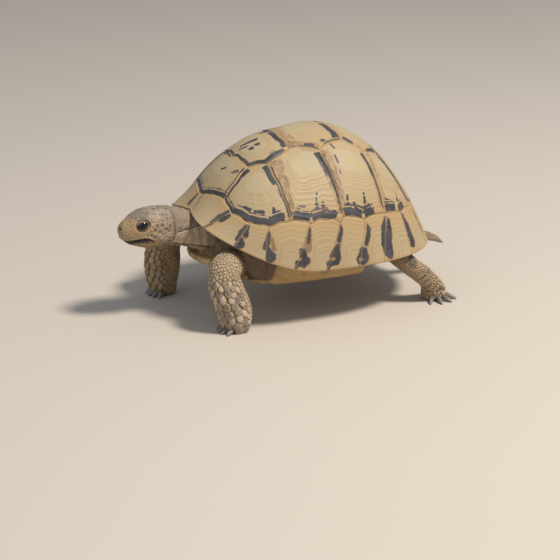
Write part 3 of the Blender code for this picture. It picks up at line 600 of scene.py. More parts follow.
def seamStrokes(table, seam, mirror):
    # strokes of one seam as 3-D lines: down the seam, then along the rim by the given distance
    strokes = []
    for stroke in table.get(seam, []):
        made = []
        for across, down, width in stroke:
            sides = marginalSides(min(seam, 10))
            place, _ = rimPlace(*sides, 0.0 if seam <= 10 else 1.0, down)
            ahead, _ = rimPlace(*sides, 0.2 if seam <= 10 else 0.8, down)
            here, there = domePoint(mirror * place[0], place[1]), domePoint(mirror * ahead[0], ahead[1])
            way = (there - here) / np.linalg.norm(there - here) * (1 if seam <= 10 else -1)
            made.append((*(here + way * across), width * 1.2))
        strokes.append(made)
    return strokes


def rimScute(name, node, top, degrees, mirror=1, seed=0, marks=(), browns=(), pales=(), rings=True):
    # across from seam to seam and down from the upper seam to the rim, over a rounded lip and back underneath
    form = marginalForm
    width = np.linalg.norm(domePoint(*onRim(degrees[0])) - domePoint(*onRim(degrees[1])))
    columns = max(6, int(width / (form["across"] * fine)))
    share = np.linspace(0, 1, columns)
    high = np.linalg.norm(np.subtract(domePoint(*onRim(np.mean(degrees))), domePoint(*np.mean(top, axis=0))))
    rows = max(12, int(high / (form["down"] * fine)))
    down = np.linspace(0, 1, rows)
    place, bearing = rimPlace(top, degrees, share[:, None] + 0 * down, down + 0 * share[:, None])
    base = domePoint(mirror * place[..., 0], place[..., 1])
    normal = domeNormal(mirror * place[..., 0], place[..., 1])
    acrossGap = np.minimum(share, 1 - share)[:, None] * np.linalg.norm(base[-1] - base[0], axis=-1)
    downGap = np.linalg.norm(base - base[:, :1], axis=-1)
    fromSeam = np.minimum(acrossGap, downGap)
    grown = ((1 - down) ** 9 + (0.93 * (1 - share[:, None])) ** 9) ** (1 / 9)
    wander = 0.35 * latticeNoise(np.stack([grown * 8, 0 * grown, 0 * grown], -1), 1.0, seed + 19)
    phase = form["rings"] * np.clip(grown, 0, 1) + wander + 0.14 * latticeNoise(base, 16.0, seed + 20)
    ridge = 0.5 + 0.5 * np.cos(2 * np.pi * phase + 0.8 * np.sin(2 * np.pi * phase))
    swell = 0.5 + 0.5 * roughNoise(base, 12.0, seed + 30)
    fade = easeStep(grown, 0.15, 0.4) * (1.0 if rings else 0.3)
    relief = form["height"] * 2 * (ridge - 0.5) * swell * fade + 0.03 * roughNoise(base, 2.2, seed + 40)
    dip = np.exp(-(fromSeam / form["seamWidth"]) ** 2)
    relief = relief * (1 - dip) - form["seamDepth"] * dip + 0.25 * easeStep(down, 0.86, 0.98)
    face = base + normal * relief[..., None]
    edge, bearings = face[:, -1], bearing[:, -1]
    inner = rimUnderside(bearings) * [mirror, 1, 1]
    inward = (inner - base[:, -1]) * [1, 1, 0] / shellForm["underside"]
    lip = []
    for t in np.linspace(0, 1, 6)[1:]:
        lip.append((1 - t) ** 2 * edge + 2 * t * (1 - t) * (edge - [0, 0, form["lip"]])
                   + t ** 2 * (edge + inward * 1.7 - [0, 0, form["lip"] * 0.9]))
    under = [lip[-1] + (inner - lip[-1]) * t for t in np.linspace(0, 1, 8)[1:]]
    inside = [base[:, -rows // 3] - normal[:, -rows // 3] * 2.2, base[:, 0] - normal[:, 0] * 1.7]
    ring = np.concatenate([face, np.stack(lip + under + inside, axis=1)], axis=1)
    tail = ring.shape[1] - rows
    ragged = 0.45 * roughNoise(base, 1.5, seed + 5) + 0.6 * roughNoise(base, 3.0, seed + 6)
    depths = [0.8 * ragged - strokeDistance(base, strokes) if strokes else np.full(base.shape[:-1], -9.0)
              for strokes in (marks, browns, pales)]
    masks = [easeStep(depth, -0.35, 0.1) for depth in depths]
    fringe = 0.8 * easeStep(depths[0] + 0.6 * roughNoise(base, 2.0, seed + 7), -1.1, -0.2)
    # the dark marks are thinned on the ring crests as a painted sheen
    dark = masks[0] * (1 - masks[2]) * (1 - 0.35 * fade * easeStep(ridge, 0.6, 0.9))
    brown = np.maximum(masks[1] * 0.9, fringe)

    def full(value, last):
        return np.concatenate([value, np.broadcast_to(last, (columns, tail))], axis=1).ravel()

    belowDark = easeStep(0.35 * roughNoise(ring[:, rows:], 7.0, seed + 60), 0.08, 0.16) * 0.8
    values = {"dark": full(dark, belowDark), "brown": full(brown, 0.0),
              "ridge": full(0.5 + (ridge - 0.5) * fade * (0.25 + 0.6 * swell), 0.5),
              "seam": full(np.exp(-(fromSeam / 0.4) ** 2), np.exp(-(acrossGap[:, -1:] / 0.4) ** 2)),
              "areola": full(0.4 * (1 - easeStep(grown, 0.1, 0.5)), 0.0),
              "margin": full(easeStep(grown, 0.3, 1.0) + 0.6 * easeStep(down, 0.8, 1.0) + 0 * grown, 0.8)}
    values = {key: np.append(value, [0.5, 0.5]) for key, value in values.items()}
    piece = makePiece(name, *closedGrid(ring), values)
    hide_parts(node)
    return piece


def hornColour(wire, tan, ochre, darkest):
    # tan horn with paler ridge crests and darker grooves (painted highlight on the crests and painted shade
    # in the grooves, over the rings' and grain's own colour), ochre margins, a greyer areola, blackish marks
    # with brown edges and a painted sheen on their crests, and cream seams
    blotch = wire.noise(9.0, 3.0)
    streak = wire.noise(1.5, 4.0, (1.0, 1.0, 3.0))
    speck = wire.noise(0.5, 3.0)
    ridge, seam = wire.attribute("ridge"), wire.attribute("seam")
    margin, areola = wire.attribute("margin"), wire.attribute("areola")
    dark, brown = wire.attribute("dark"), wire.attribute("brown")
    ground = wire.mix((margin * 0.75 + blotch * 0.5 - 0.25).limited(0.1, 0.9), tan, ochre)
    ground = wire.mix(areola * 0.55, ground, (0.41, 0.35, 0.215))
    # painted shade in the ring grooves here, painted highlight on the ring crests on the next line, over the
    # rings' own colour
    ground = wire.mix((0.5 - ridge).limited(0.0, 0.5) * 0.34, ground, (0.29, 0.18, 0.08))
    ground = wire.mix((ridge - 0.6).limited(0.0, 0.4) * 0.30, ground, (0.62, 0.53, 0.36))
    ground = wire.mix((streak - 0.52).limited(0.0, 0.2) * 0.22, ground, (0.33, 0.22, 0.10))
    ground = wire.mix((0.46 - speck).limited(0.0, 0.12) * 0.12, ground, (0.26, 0.18, 0.10))
    stain = wire.mix((streak * 0.6 + speck * 0.4).limited(0.4, 0.6), (0.13, 0.085, 0.055),
                     (0.30, 0.175, 0.09))
    ground = wire.mix((brown * (0.65 + streak * 0.7)).limited(0.05, 0.95) * 0.85, ground, stain)
    black = wire.mix((speck * 0.5 + blotch * 0.5).limited(0.35, 0.65), darkest, (0.075, 0.070, 0.072))
    # painted sheen: the black marks are greyer on the ring crests
    black = wire.mix((ridge - 0.55).limited(0.0, 0.45) * 0.30, black, (0.17, 0.155, 0.15))
    ground = wire.mix((dark * 1.15 - streak * 0.12).limited(0.25, 0.8), ground, black)
    return wire.mix(seam * 0.62, ground, (0.40, 0.30, 0.17)), speck, streak, dark


def hornMaterial(wire):
    tan, ochre, darkest = (0.425, 0.325, 0.188), (0.425, 0.285, 0.135), (0.030, 0.030, 0.036)
    colour, speck, streak, dark = hornColour(wire, tan, ochre, darkest)
    rough = 0.50 + streak * 0.18 - dark * 0.08
    bump = (speck * 0.5 + streak).bump(0.25, 0.12)
    return {"Base Color": colour, "Roughness": rough, "Normal": bump}


carapaceHorn = newMaterial("carapaceHorn", hornMaterial, Specular_IOR_Level=0.4)
spineOutlines, flankOutlines = scuteOutlines()
for number, corners in enumerate(spineOutlines, 1):
    piece = domeScute(f"spineScute{number}", f"vertebral_{number}", corners, vertebrals[number], seed=number
                      * 7)
    setMaterial(piece, carapaceHorn)
for number, corners in enumerate(flankOutlines, 1):
    for sideName, mirror in (("left", 1), ("right", -1)):
        piece = domeScute(f"{sideName}FlankScute{number}", f"costal_{sideName}_{number}", corners,
                          costals[number],
                          mirror, seed=100 + number * 11 - mirror * 5)
        setMaterial(piece, carapaceHorn)
print("dome scutes made")
for sideName, mirror in (("left", 1), ("right", -1)):
    for number in range(1, 11):
        strokes = [seamStrokes(table, number, mirror) + seamStrokes(table, number + 1, mirror)
                   for table in (seamMarks, seamBrown, seamPale)]
        piece = rimScute(f"{sideName}RimScute{number}", f"marginal_{sideName}_{number}",
                         *marginalSides(number),
                         mirror, 300 + number * 9 - mirror * 4, *strokes)
        setMaterial(piece, carapaceHorn)
nuchalLine = [(-seams["nuchal"][0], seams["nuchal"][1]), seams["nuchal"]]
piece = rimScute("neckScute", "nuchal", nuchalLine, (-seams["rims"][0], seams["rims"][0]), 1, 500,
                 rings=False)
setMaterial(piece, carapaceHorn)
tailLine = [seams["tops"][-1], (-seams["tops"][-1][0], seams["tops"][-1][1])]
tailStrokes = seamStrokes(seamMarks, 11, 1) + seamStrokes(seamMarks, 11, -1)
piece = rimScute("tailScute", "supracaudal", tailLine, (seams["rims"][-1], 360 - seams["rims"][-1]), 1, 510,
                 tailStrokes)
setMaterial(piece, carapaceHorn)
print("rim scutes made")


def smoothPath(stations, shares):
    # Catmull-Rom through the rows of stations, at shares of the way along them
    stations = np.asarray(stations, float)
    padded = np.vstack([2 * stations[0] - stations[1], stations, 2 * stations[-1] - stations[-2]])
    at = np.clip(np.asarray(shares, float), 0, 1) * (len(stations) - 1)
    first = np.minimum(at.astype(int), len(stations) - 2)
    t = (at - first)[..., None]
    a, b, c, d = (padded[first + i] for i in range(4))
    return 0.5 * (2 * b + (c - a) * t + (2 * a - 5 * b + 4 * c - d) * t ** 2 + (3 * b - a - 3 * c + d)
                  * t ** 3)


# Plastron: (y, half width) of each lobe, heights, and its seams as (side, y) lines
belly = {
    "plate": 2.8, "lipTop": 20.6, "level": 4.8, "gularRise": 12.0, "analRise": 5.0, "notch": 4.5,
    "bridge": (-32.5, 38.0),
    "frontLobe": [(-63.5, 7.0), (-61.5, 14.0), (-56.0, 22.5), (-48.0, 30.0), (-40.5, 35.5)],
    "rearLobe": [(38.3, 41.0), (48.0, 37.5), (58.0, 33.5), (67.0, 29.5), (75.0, 24.5), (80.5, 18.0),
                 (84.0, 11.0)],
    "seams": [[(0.3, -64), (-0.4, -40), (0.5, -10), (-0.3, 20), (0.3, 60), (0, 86)],
              [(0, -50), (9, -55), (16, -63)],
              [(0, -30), (14, -32), (30, -38), (40, -46)], [(0, -19), (24, -19), (38, -24), (60, -34)],
              [(0, 26), (20, 28), (38, 33), (62, 42)], [(0, 58), (12, 60), (24, 66), (36, 72)],
              [(48.5, -34), (50.5, -10), (51, 15), (50, 38)]],
}


def plateRow(y, halfWidth=None):
    # the lower face from the midline out: flat and lifted at the edge, or curved up the bridge to the rim
    front = np.clip((-y - 20) / 43.5, 0, None)
    rear = np.clip((y - 45) / 39, 0, None)
    low = belly["level"] + belly["gularRise"] * front ** 2 + belly["analRise"] * rear ** 1.5
    if halfWidth is not None:
        x, z = np.array([0, 0.35, 0.7, 0.9, 1.0]) * halfWidth, low + np.array([0, 0, 0.3, 0.9, 1.8])
    else:
        inner = rimUnderside(np.linspace(40, 140, 101))
        edge, top = (np.interp(y, inner[:, 1], inner[:, i]) - 0.3 for i in (0, 2))
        x, z = (np.array([0, 0.42, 0.75, 0.88, 1.0]) * edge, low
                + np.array([0, 0, 0.03, 0.30, 1.0]) * (top - low))
    return np.concatenate([[y], x, z])


def plastronPlate(name, node, rows, notch, seed):
    # half sections from a smooth path through the rows, mirrored, thickened, with grooves along the seams
    length = abs(rows[-1][0] - rows[0][0])
    along = np.linspace(0, 1, int(length / (0.55 * fine)))
    path = smoothPath(rows, along)
    y, x, z = path[:, :1], path[:, 1:6], path[:, 6:]
    half = smoothPath(np.stack([x, z], -1).transpose(1, 0, 2).reshape(5, -1),
                      np.linspace(0, 1, int(70 / fine)))
    half = half.reshape(-1, len(along), 2).transpose(1, 0, 2)
    half[:, :, 0] = np.maximum(half[:, :, 0], 0)
    slope = np.gradient(half, axis=1)
    slope = slope / np.linalg.norm(slope, axis=-1, keepdims=True)
    up = np.stack([-slope[..., 1], slope[..., 0]], -1)
    lip = (easeStep(-y, 38.0, 43.0)[..., None] * [0.0, 1.0]
           * np.maximum(belly["lipTop"] - half - belly["plate"], 0))
    top = half + up * belly["plate"] + lip
    edgeTurn = np.linspace(0, np.pi, 15)[1:-1][:, None]
    edge = half[:, -1:] + (top - half)[:, -1:] * (1 - np.cos(edgeTurn)) / 2
    edge = edge + slope[:, -1:] * np.sin(edgeTurn) * (0.35 * belly["plate"] + 0.10 * lip[:, -1:, 1:])
    top = top[:, ::-1]
    loop = np.concatenate([half, edge, top], axis=1)
    loop[:, -1, 0] = 0.0
    loop = np.concatenate([loop, loop[:, 1:-1][:, ::-1] * [-1, 1]], axis=1)
    back = y - notch * (along[:, None]) ** 4 * np.clip(1 - np.abs(loop[..., 0]) / 9, 0, 1)
    # the free end is rounded by rings drawn in toward the middle of the outermost one
    free, ahead = (0, -1) if rows[0][0] < 0 else (-1, 1)
    turns = np.radians([80, 62, 44, 28, 12])[::-ahead, None]
    middle = loop[free].mean(axis=0)
    cap = [middle + (loop[free] - middle) * np.cos(turns)[..., None], back[free] + ahead * 1.1
           * np.sin(turns)]
    loop, back = (np.concatenate([new, old] if ahead < 0 else [old, new]) for new,
                  old in zip(cap, (loop, back)))
    points = np.stack([loop[..., 0], back, loop[..., 1]], -1)
    flat = np.stack([np.abs(points[..., 0]), points[..., 1], 0 * back], -1)
    seamLines = [[(side, at, 0.0, 0.0) for side, at in line] for line in belly["seams"]]
    fromSeam = np.maximum(strokeDistance(flat, seamLines), 0)
    dip = np.exp(-(fromSeam / 0.5) ** 2)
    under = np.zeros(loop.shape[1], bool)
    under[:half.shape[1]] = under[-half.shape[1] + 2:] = True
    grain = (latticeNoise(points * [1.0, 0.09, 1.4], 1.4, seed)
             + 0.6 * latticeNoise(points * [1, 0.2, 1], 4.0, seed + 1))
    side = np.clip((np.abs(points[..., 0]) - 25) / 20, 0, 1)
    lift = (0.45 * dip - 0.10 * grain * (0.3 + side) - 0.10 * roughNoise(points, 8.0, seed + 2)) * under
    points[..., 2] += lift
    smoke = easeStep(0.5 * roughNoise(points, 13.0, seed + 3) + 0.35 * np.clip(fromSeam / 12, 0, 1),
                     0.14, 0.5)
    spots = [[(1.0, -63.0, 19.0, 0.9), (4.0, -62.5, 16.5, 1.7)], [(31, -45, 14, 1.0), (32, -44, 12.5, 1.4)]]
    spot = easeStep(0.8 * roughNoise(points, 2.0, seed + 6)
                    - strokeDistance(np.abs(points) * [1, -1, 1], spots), -0.4, 0.2)
    values = {"dark": np.maximum(smoke * 0.75, spot),
              "brown": easeStep(roughNoise(points, 7.0, seed + 4), -0.1, 0.7) * 0.7,
              "ridge": 0.5 + 0.45 * grain, "seam": dip, "areola": np.zeros_like(dip), "margin": 0.5 + 0.4
              * side}
    values = {key: np.append(value, [0.2, 0.2]) for key, value in values.items()}
    piece = makePiece(name, *closedGrid(points), values)
    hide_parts(node)
    return piece


def bellyMaterial(wire):
    tan, ochre, darkest = (0.46, 0.32, 0.13), (0.40, 0.245, 0.085), (0.060, 0.045, 0.035)
    colour, speck, streak, _ = hornColour(wire, tan, ochre, darkest)
    bump = (speck + streak).bump(0.3, 0.2)
    return {"Base Color": colour, "Roughness": 0.45 + streak * 0.2, "Normal": bump}


plastronHorn = newMaterial("plastronHorn", bellyMaterial, Specular_IOR_Level=0.45)
frontRows = [plateRow(y, width) for y, width in belly["frontLobe"]]
frontRows += [plateRow(y) for y in np.linspace(*belly["bridge"], 8)]
setMaterial(plastronPlate("frontPlastron", "plastron_front", frontRows, 0.0, 700), plastronHorn)
rearRows = [plateRow(y, width) for y, width in belly["rearLobe"]]
setMaterial(plastronPlate("rearPlastron", "plastron_rear", rearRows, belly["notch"], 720), plastronHorn)
print("plastron made")

# Middle lines of the limbs: (x, y, z, radius to the side, radius to the front)
floorLevel = -shellZero[2]
limbs = {
    "leftForeleg": {
        "path": [(33, -44.4, 22.8, 10, 9), (39, -50.5, 23.4, 9.6, 9.3), (43.5, -57.3, 21.5, 9.2, 10.2),
                 (44.5, -58.2, 14, 9, 10.7), (45, -56.6, 6, 9, 10.9), (45.3, -53.4, -3, 9.2, 11.2),
                 (45.3, -51.2, -11, 9.2, 10.6), (45, -50.2, -17, 8.4, 8.8), (44.8, -49.8, -20.5, 7, 7.2)],
        "nodes": ("foreleg_left", "forefoot_left"), "heading": -4, "claws": 5, "spread": 21, "length": 7.4,
        "thickness": 2.2, "shield": (1.15, 1.75), "plates": 1.0, "fore": True},
    "rightForeleg": {
        "path": [(-33, -44.4, 22.8, 10, 9), (-39, -53, 23.8, 9.8, 9.4), (-42, -64, 20, 9.5, 10.8),
                 (-42.3, -67.2, 12, 9.5, 11.8), (-42.3, -68.6, 4, 9.6, 12.2), (-42.3, -69, -4, 9.6, 11.8),
                 (-42.3, -68.6, -11.5, 9.2, 10.4), (-42, -67.6, -17, 8.2, 8.6), (-42, -67.2, -20.5, 6.8, 7)],
        "nodes": ("foreleg_right", "forefoot_right"), "heading": 8, "claws": 5, "spread": 21, "length": 7.0,
        # the far foreleg's pale plates are mostly left out, as part of its painted shade
        "thickness": 2.2, "shield": (1.99, 1.75), "plates": 0.3, "fore": True},
    "leftHindleg": {
        "path": [(34.5, 59.2, 20, 8.2, 7.8), (38, 65.6, 15, 7.2, 7.4), (44.2, 73, 8, 7.2, 7.0),
                 (46, 80.5, 1.5, 7, 6.7), (45.5, 87.5, -5.5, 7.1, 6.6), (43.5, 92.5, -12, 7.8, 7.4),
                 (42, 94.5, -17, 8, 8.4), (41.8, 95, -20.5, 6.8, 7.4)],
        "nodes": ("hindleg_left", "hindfoot_left"), "heading": 98, "claws": 4, "spread": 30, "length": 8.8,
        "thickness": 1.9, "shield": (-1.2, 1.0), "plates": 0.8, "fore": False},
    "rightHindleg": {
        "path": [(-34.5, 59.2, 20, 8.3, 7.8), (-39, 65.2, 15.5, 7.2, 7), (-43, 67, 8, 7.4, 7.2),
                 (-44.5, 65.5, 0.5, 7.6, 7), (-44.8, 63.5, -7, 7.8, 7.2), (-44.5, 62, -13, 8.2, 8),
                 (-44, 61.2, -17.5, 8.2, 8.4), (-44, 61, -20.5, 7, 7.2)],
        "nodes": ("hindleg_right", "hindfoot_right"), "heading": -22, "claws": 4, "spread": 25, "length": 8.6,
        "thickness": 1.9, "shield": (-1.9, 1.0), "plates": 0.8, "fore": False},
}
tailPath = [(0, 58.4, 21, 8, 5.5), (0, 76, 18, 6, 4.6), (0, 92, 14.5, 4.6, 4.2), (0, 106, 11, 3.6, 3.4),
            (0, 116, 7.4, 2.6, 2.5), (0, 122, 4.2, 1.5, 1.5), (0, 124.4, 2.4, 0.6, 0.6)]
# Head and neck: (y, half width, top, bottom)
throatPath = [
    (-40.0, 17.2, 45.5, 20.2), (-44.4, 17.0, 46.0, 20.5), (-52.0, 16.5, 47.6, 20.7),
    (-60.0, 15.0, 48.6, 22.5),
    (-66.0, 13.8, 50.0, 24.8), (-72.0, 12.8, 52.0, 26.6), (-79.0, 12.4, 54.2, 27.8),
    (-85.0, 13.0, 55.0, 28.0),
    (-91.0, 12.9, 55.2, 28.0), (-97.0, 11.7, 54.6, 28.5), (-102.0, 10.5, 53.1, 29.5),
    (-106.5, 9.0, 50.8, 31.0),
    (-110.0, 7.2, 47.9, 33.0), (-112.3, 5.2, 45.4, 35.6), (-113.2, 3.2, 43.6, 38.4),
    (-113.4, 1.2, 42.2, 39.8)]
eyes = {"centre": (7.1, -99.6, 45.3), "radius": 4.0, "look": (0.93, -0.30, 0.20), "tilt": 18,
        "half": (3.25, 2.35)}
mouthLine = [(-114.0, 35.6), (-110.0, 35.1), (-105.0, 36.2), (-99.5, 37.0), (-95.5, 36.2), (-92.5, 34.0)]


def squaredTurn(turn, power):
    c, s = np.cos(turn), np.sin(turn)
    return np.sign(c) * np.abs(c) ** (2 / power), np.sign(s) * np.abs(s) ** (2 / power)


def eyeFrame():
    # outward, rearward and upward directions at the left eye
    look = np.array(eyes["look"]) / np.linalg.norm(eyes["look"])
    rear = np.cross([0, 0, 1.0], look)
    rear = rear / np.linalg.norm(rear)
    up = np.cross(look, rear)
    tilt = np.radians(eyes["tilt"])
    return look, rear * np.cos(tilt) + up * np.sin(tilt), up * np.cos(tilt) - rear * np.sin(tilt)


def limbSurface(turn, share, path, inset=0.7, toes=None):
    # an ellipse across a Catmull-Rom middle line; creases ring the joint and toes swell over the claws
    turn, share = np.broadcast_arrays(np.asarray(turn, float), np.asarray(share, float))
    line = smoothPath(path, share)
    step = 2e-3
    tangent = (smoothPath(path, share + step) - smoothPath(path, share - step))[..., :3]
    start = np.array([0, np.sign(path[1][1] - path[0][1]), 0.0])
    blend = easeStep(share, 0.0, 0.06)[..., None]
    tangent = tangent / np.linalg.norm(tangent, axis=-1, keepdims=True) * blend + start * (1 - blend)
    tangent = tangent / np.linalg.norm(tangent, axis=-1, keepdims=True)
    sideways = np.array([1.0, 0, 0]) - tangent * tangent[..., :1]
    sideways = sideways / np.linalg.norm(sideways, axis=-1, keepdims=True)
    forward = np.cross(tangent, sideways)
    c, s = squaredTurn(turn, 2.2)
    swell = -inset + 0.35 * np.sin(3 * turn + 9 * share) * np.sin(np.pi * share)
    if toes is not None:
        heading, claws, spread = toes
        low = easeStep(share, 0.80, 0.93)
        out = forward[..., :2] * s[..., None] + sideways[..., :2] * c[..., None]
        facing = np.degrees(np.arctan2(out[..., 0], -out[..., 1]))
        off = (facing - heading + 180) % 360 - 180
        inToes = np.abs(off) < claws * spread / 2 + 4
        wave = np.cos(2 * np.pi * (off / spread + (0 if claws % 2 else 0.5)))
        swell = swell + low * np.where(inToes, 0.75 * wave - 0.1, 0.0)
        folds = np.exp(-((share - 0.36) / 0.03) ** 2) + 0.8 * np.exp(-((share - 0.29) / 0.025) ** 2)
        swell = swell - 0.45 * folds * easeStep(-s, -0.3, 0.8)
    out = (((line[..., 3] + swell) * c)[..., None] * sideways
           + ((line[..., 4] + swell) * s)[..., None] * forward)
    points = line[..., :3] + out
    if path is not tailPath:
        points[..., 2] = np.where(share > 0.9, np.maximum(points[..., 2], floorLevel), points[..., 2])
    return points


def ownSide(points):
    # turns x positive on both sides of the animal
    return np.where(points[..., :1] < 0, [-1.0, 1, 1], 1.0)


def jawFold(z):
    # where along y the fold behind the jaw runs, by height
    return -80.2 - 0.17 * np.clip(36 - z, 0, None) ** 2


def neckLines(y, z):
    # heights above the two folds that run back from the jaw and bound the band of looser skin
    return z - (38.5 + 0.22 * (y + 80)), z - (31.4 - 0.16 * (y + 78))


def throatSurface(turn, share, inset=0.4):
    # a squared oval whose width, top and bottom follow the head and neck, then moved along its own normal
    # by the brow, cheeks, mouth, nostrils, eye sockets, the fold behind the jaw and the neck's creases
    turn, share = np.broadcast_arrays(np.asarray(turn, float), np.asarray(share, float))

    def base(turnAt, shareAt):
        line = smoothPath(throatPath, shareAt)
        c, s = squaredTurn(turnAt, 2.3)
        middle = (line[..., 2] + line[..., 3]) / 2
        return np.stack([(line[..., 1] - inset) * c, line[..., 0], middle + (line[..., 2] - middle - inset)
                         * s], -1)

    points = base(turn, share)
    normal = np.cross(base(turn + 0.01, share) - base(turn - 0.01, share),
                      base(turn, np.minimum(share + 0.004, 1))
                      - base(turn, np.minimum(share + 0.004, 1) - 0.008))
    normal = normal / (np.linalg.norm(normal, axis=-1, keepdims=True) + 1e-9)
    x, y, z = np.abs(points[..., 0]), points[..., 1], points[..., 2]
    bump = lambda px, py, pz, size: np.exp(-((x - px) ** 2 + (y - py) ** 2 + (z - pz) ** 2) / size ** 2)
    lift = (0.9 * bump(8.6, -99.0, 50.4, 3.4) + 0.5 * bump(9.8, -101.0, 41.5, 3.2)
            + 0.6 * bump(12.5, -87.5, 33.0, 4.6))
    lift = lift - 0.55 * bump(12.6, -87.0, 40.5, 3.0) + 0.35 * bump(11.5, -91.0, 46.5, 3.8)
    lift = lift - 0.5 * bump(4.6, -107.5, 47.0, 2.6) + 0.35 * bump(0.0, -110.0, 46.8, 2.4)
    lift = lift - 0.9 * bump(1.9, -112.3, 43.3, 0.75)
    gapMouth = z - np.interp(y, *np.array(mouthLine).T)
    atMouth = easeStep(-y, 91.8, 93.5)
    lift = lift - atMouth * (1.15 * np.exp(-(gapMouth / 0.55) ** 2) + 0.45 * easeStep(-gapMouth, 0.2, 0.9)
                             * easeStep(-y, 95, 104) - 0.30 * np.exp(-((gapMouth - 1.1) / 0.7) ** 2))
    fold = y - jawFold(z)
    sideFold = easeStep(x, 2, 7)
    lift = lift + sideFold * (-0.75 * np.exp(-((fold - 0.3) / 0.65) ** 2) + 0.55
                              * np.exp(-((fold - 1.7) / 0.8) ** 2))
    onNeck = easeStep(fold, 1.5, 4.0)
    wrinkle = np.sin(y * 1.15 + 0.5 * np.sin(z * 0.35) + 1.2 * roughNoise(points, 7.0, 61))
    crease = roughNoise(points * [0.6, 0.35, 1.4], 4.0, 62)
    upper, lower = neckLines(y, z)
    lift = lift + onNeck * (0.24 * wrinkle + 0.35 * crease - 0.45 * np.exp(-((upper - 0.3) / 0.6) ** 2))
    lift = lift + onNeck * (0.5 * np.exp(-((lower - 1.0) / 1.2) ** 2) - 0.9
                            * np.exp(-((lower + 0.8) / 0.9) ** 2))
    points = points + normal * lift[..., None] * easeStep(1.0 - share, 0.0, 0.02)[..., None]
    look, rear, up = eyeFrame()
    rel = points * ownSide(points) - eyes["centre"]
    reach = np.hypot(rel @ rear / (eyes["half"][0] + 0.5), rel @ up / (eyes["half"][1] + 0.5))
    sink = 3.4 * (1 - easeStep(reach, 1.0, 1.4)) * (np.abs(points[..., 0]) > 5)
    return points - sink[..., None] * look * ownSide(points)


def curtain(bearings, wall, folds, seed):
    # a slab of loose skin from the underside of the rim down to the plastron, pulled in to the wall between
    # them: P = (1-t)^2 T + 2t(1-t) M + t^2 B, with pleats fanned round the limbs
    down = np.linspace(0, 1, int(44 / fine))
    trial = rimUnderside(np.linspace(*bearings, 300), 0.8)
    free = np.linspace(*bearings, 300)[np.sign(wall) * trial[:, 1] > folds["end"]]
    bearings = np.linspace(free.min(), free.max(), int(210 / fine))
    top = rimUnderside(bearings, 0.8)
    top[:, 2] += 0.3
    ahead = np.sign(wall)
    beside = np.abs(top[:, 0])
    bottom = np.stack([top[:, 0], np.interp(beside, *np.array(folds["edge"]).T),
                       np.interp(beside, [0, 20, 35, 48, 56], folds["levels"])], -1)
    middle = (top + bottom) / 2
    pulled = wall + ahead * folds["collar"] * np.exp(-((bearings - folds["middle"]) / 20) ** 2)
    middle[:, 1] += 2 * (pulled - middle[:, 1]) * (1 - easeStep(beside, 43, 52))
    t = down[:, None, None]
    sheet = (1 - t) ** 2 * top + 2 * t * (1 - t) * middle + t ** 2 * bottom
    pleat = np.sin(bearings * folds["count"] + 2.5 * latticeNoise(sheet, 9.0, seed)) * folds["depth"]
    pleat = pleat + 0.8 * roughNoise(sheet * [1.0, 1, 0.4], 5.0, seed + 1)
    pleat = pleat + 0.55 * np.sin(bearings * 1.4 + 2.0 * latticeNoise(sheet, 7.0, seed + 2))
    hold = (np.sin(np.pi * down) ** 0.6)[:, None]
    front = sheet + (ahead * pleat * hold)[..., None] * [0, 1, 0]
    rear = sheet - [0, ahead * folds["thick"], 0]
    rear[..., 2] += 1.0 * (1 - 2 * down[:, None])
    loop = np.concatenate([front, rear[::-1]], axis=0).transpose(1, 0, 2)
    return closedGrid(loop)


def trunkShape():
    # rings under the dome, then over the plastron, flattened where the two openings are
    turn = np.linspace(0, 2 * np.pi, int(100 / fine), endpoint=False)
    side, back = np.sin(turn), -np.cos(turn)
    reach = 0.735 + 0.05 * back
    rings = []
    for share in np.linspace(0.08, 1, int(24 / fine)):
        place = side * reach * share, back * reach * share
        rings.append(domePoint(*place) - 3.2 * domeNormal(*place))
    for share in np.linspace(0.97, 0.1, int(12 / fine)):
        low = rings[int(24 / fine) - 1] * [share, share, 0]
        low[:, 2] = 11.0 + 9 * (np.abs(low[:, 0]) / 50) ** 4 + 9 * np.clip((-low[:, 1] - 20) / 40, 0, 1) ** 2
        rings.append(low)
    grid = np.array(rings)
    grid[..., 1] = np.clip(grid[..., 1], -43.2, 57.2)
    return closedGrid(grid, [grid[0].mean(axis=0) + [0, 0, 0.1], grid[-1].mean(axis=0)])
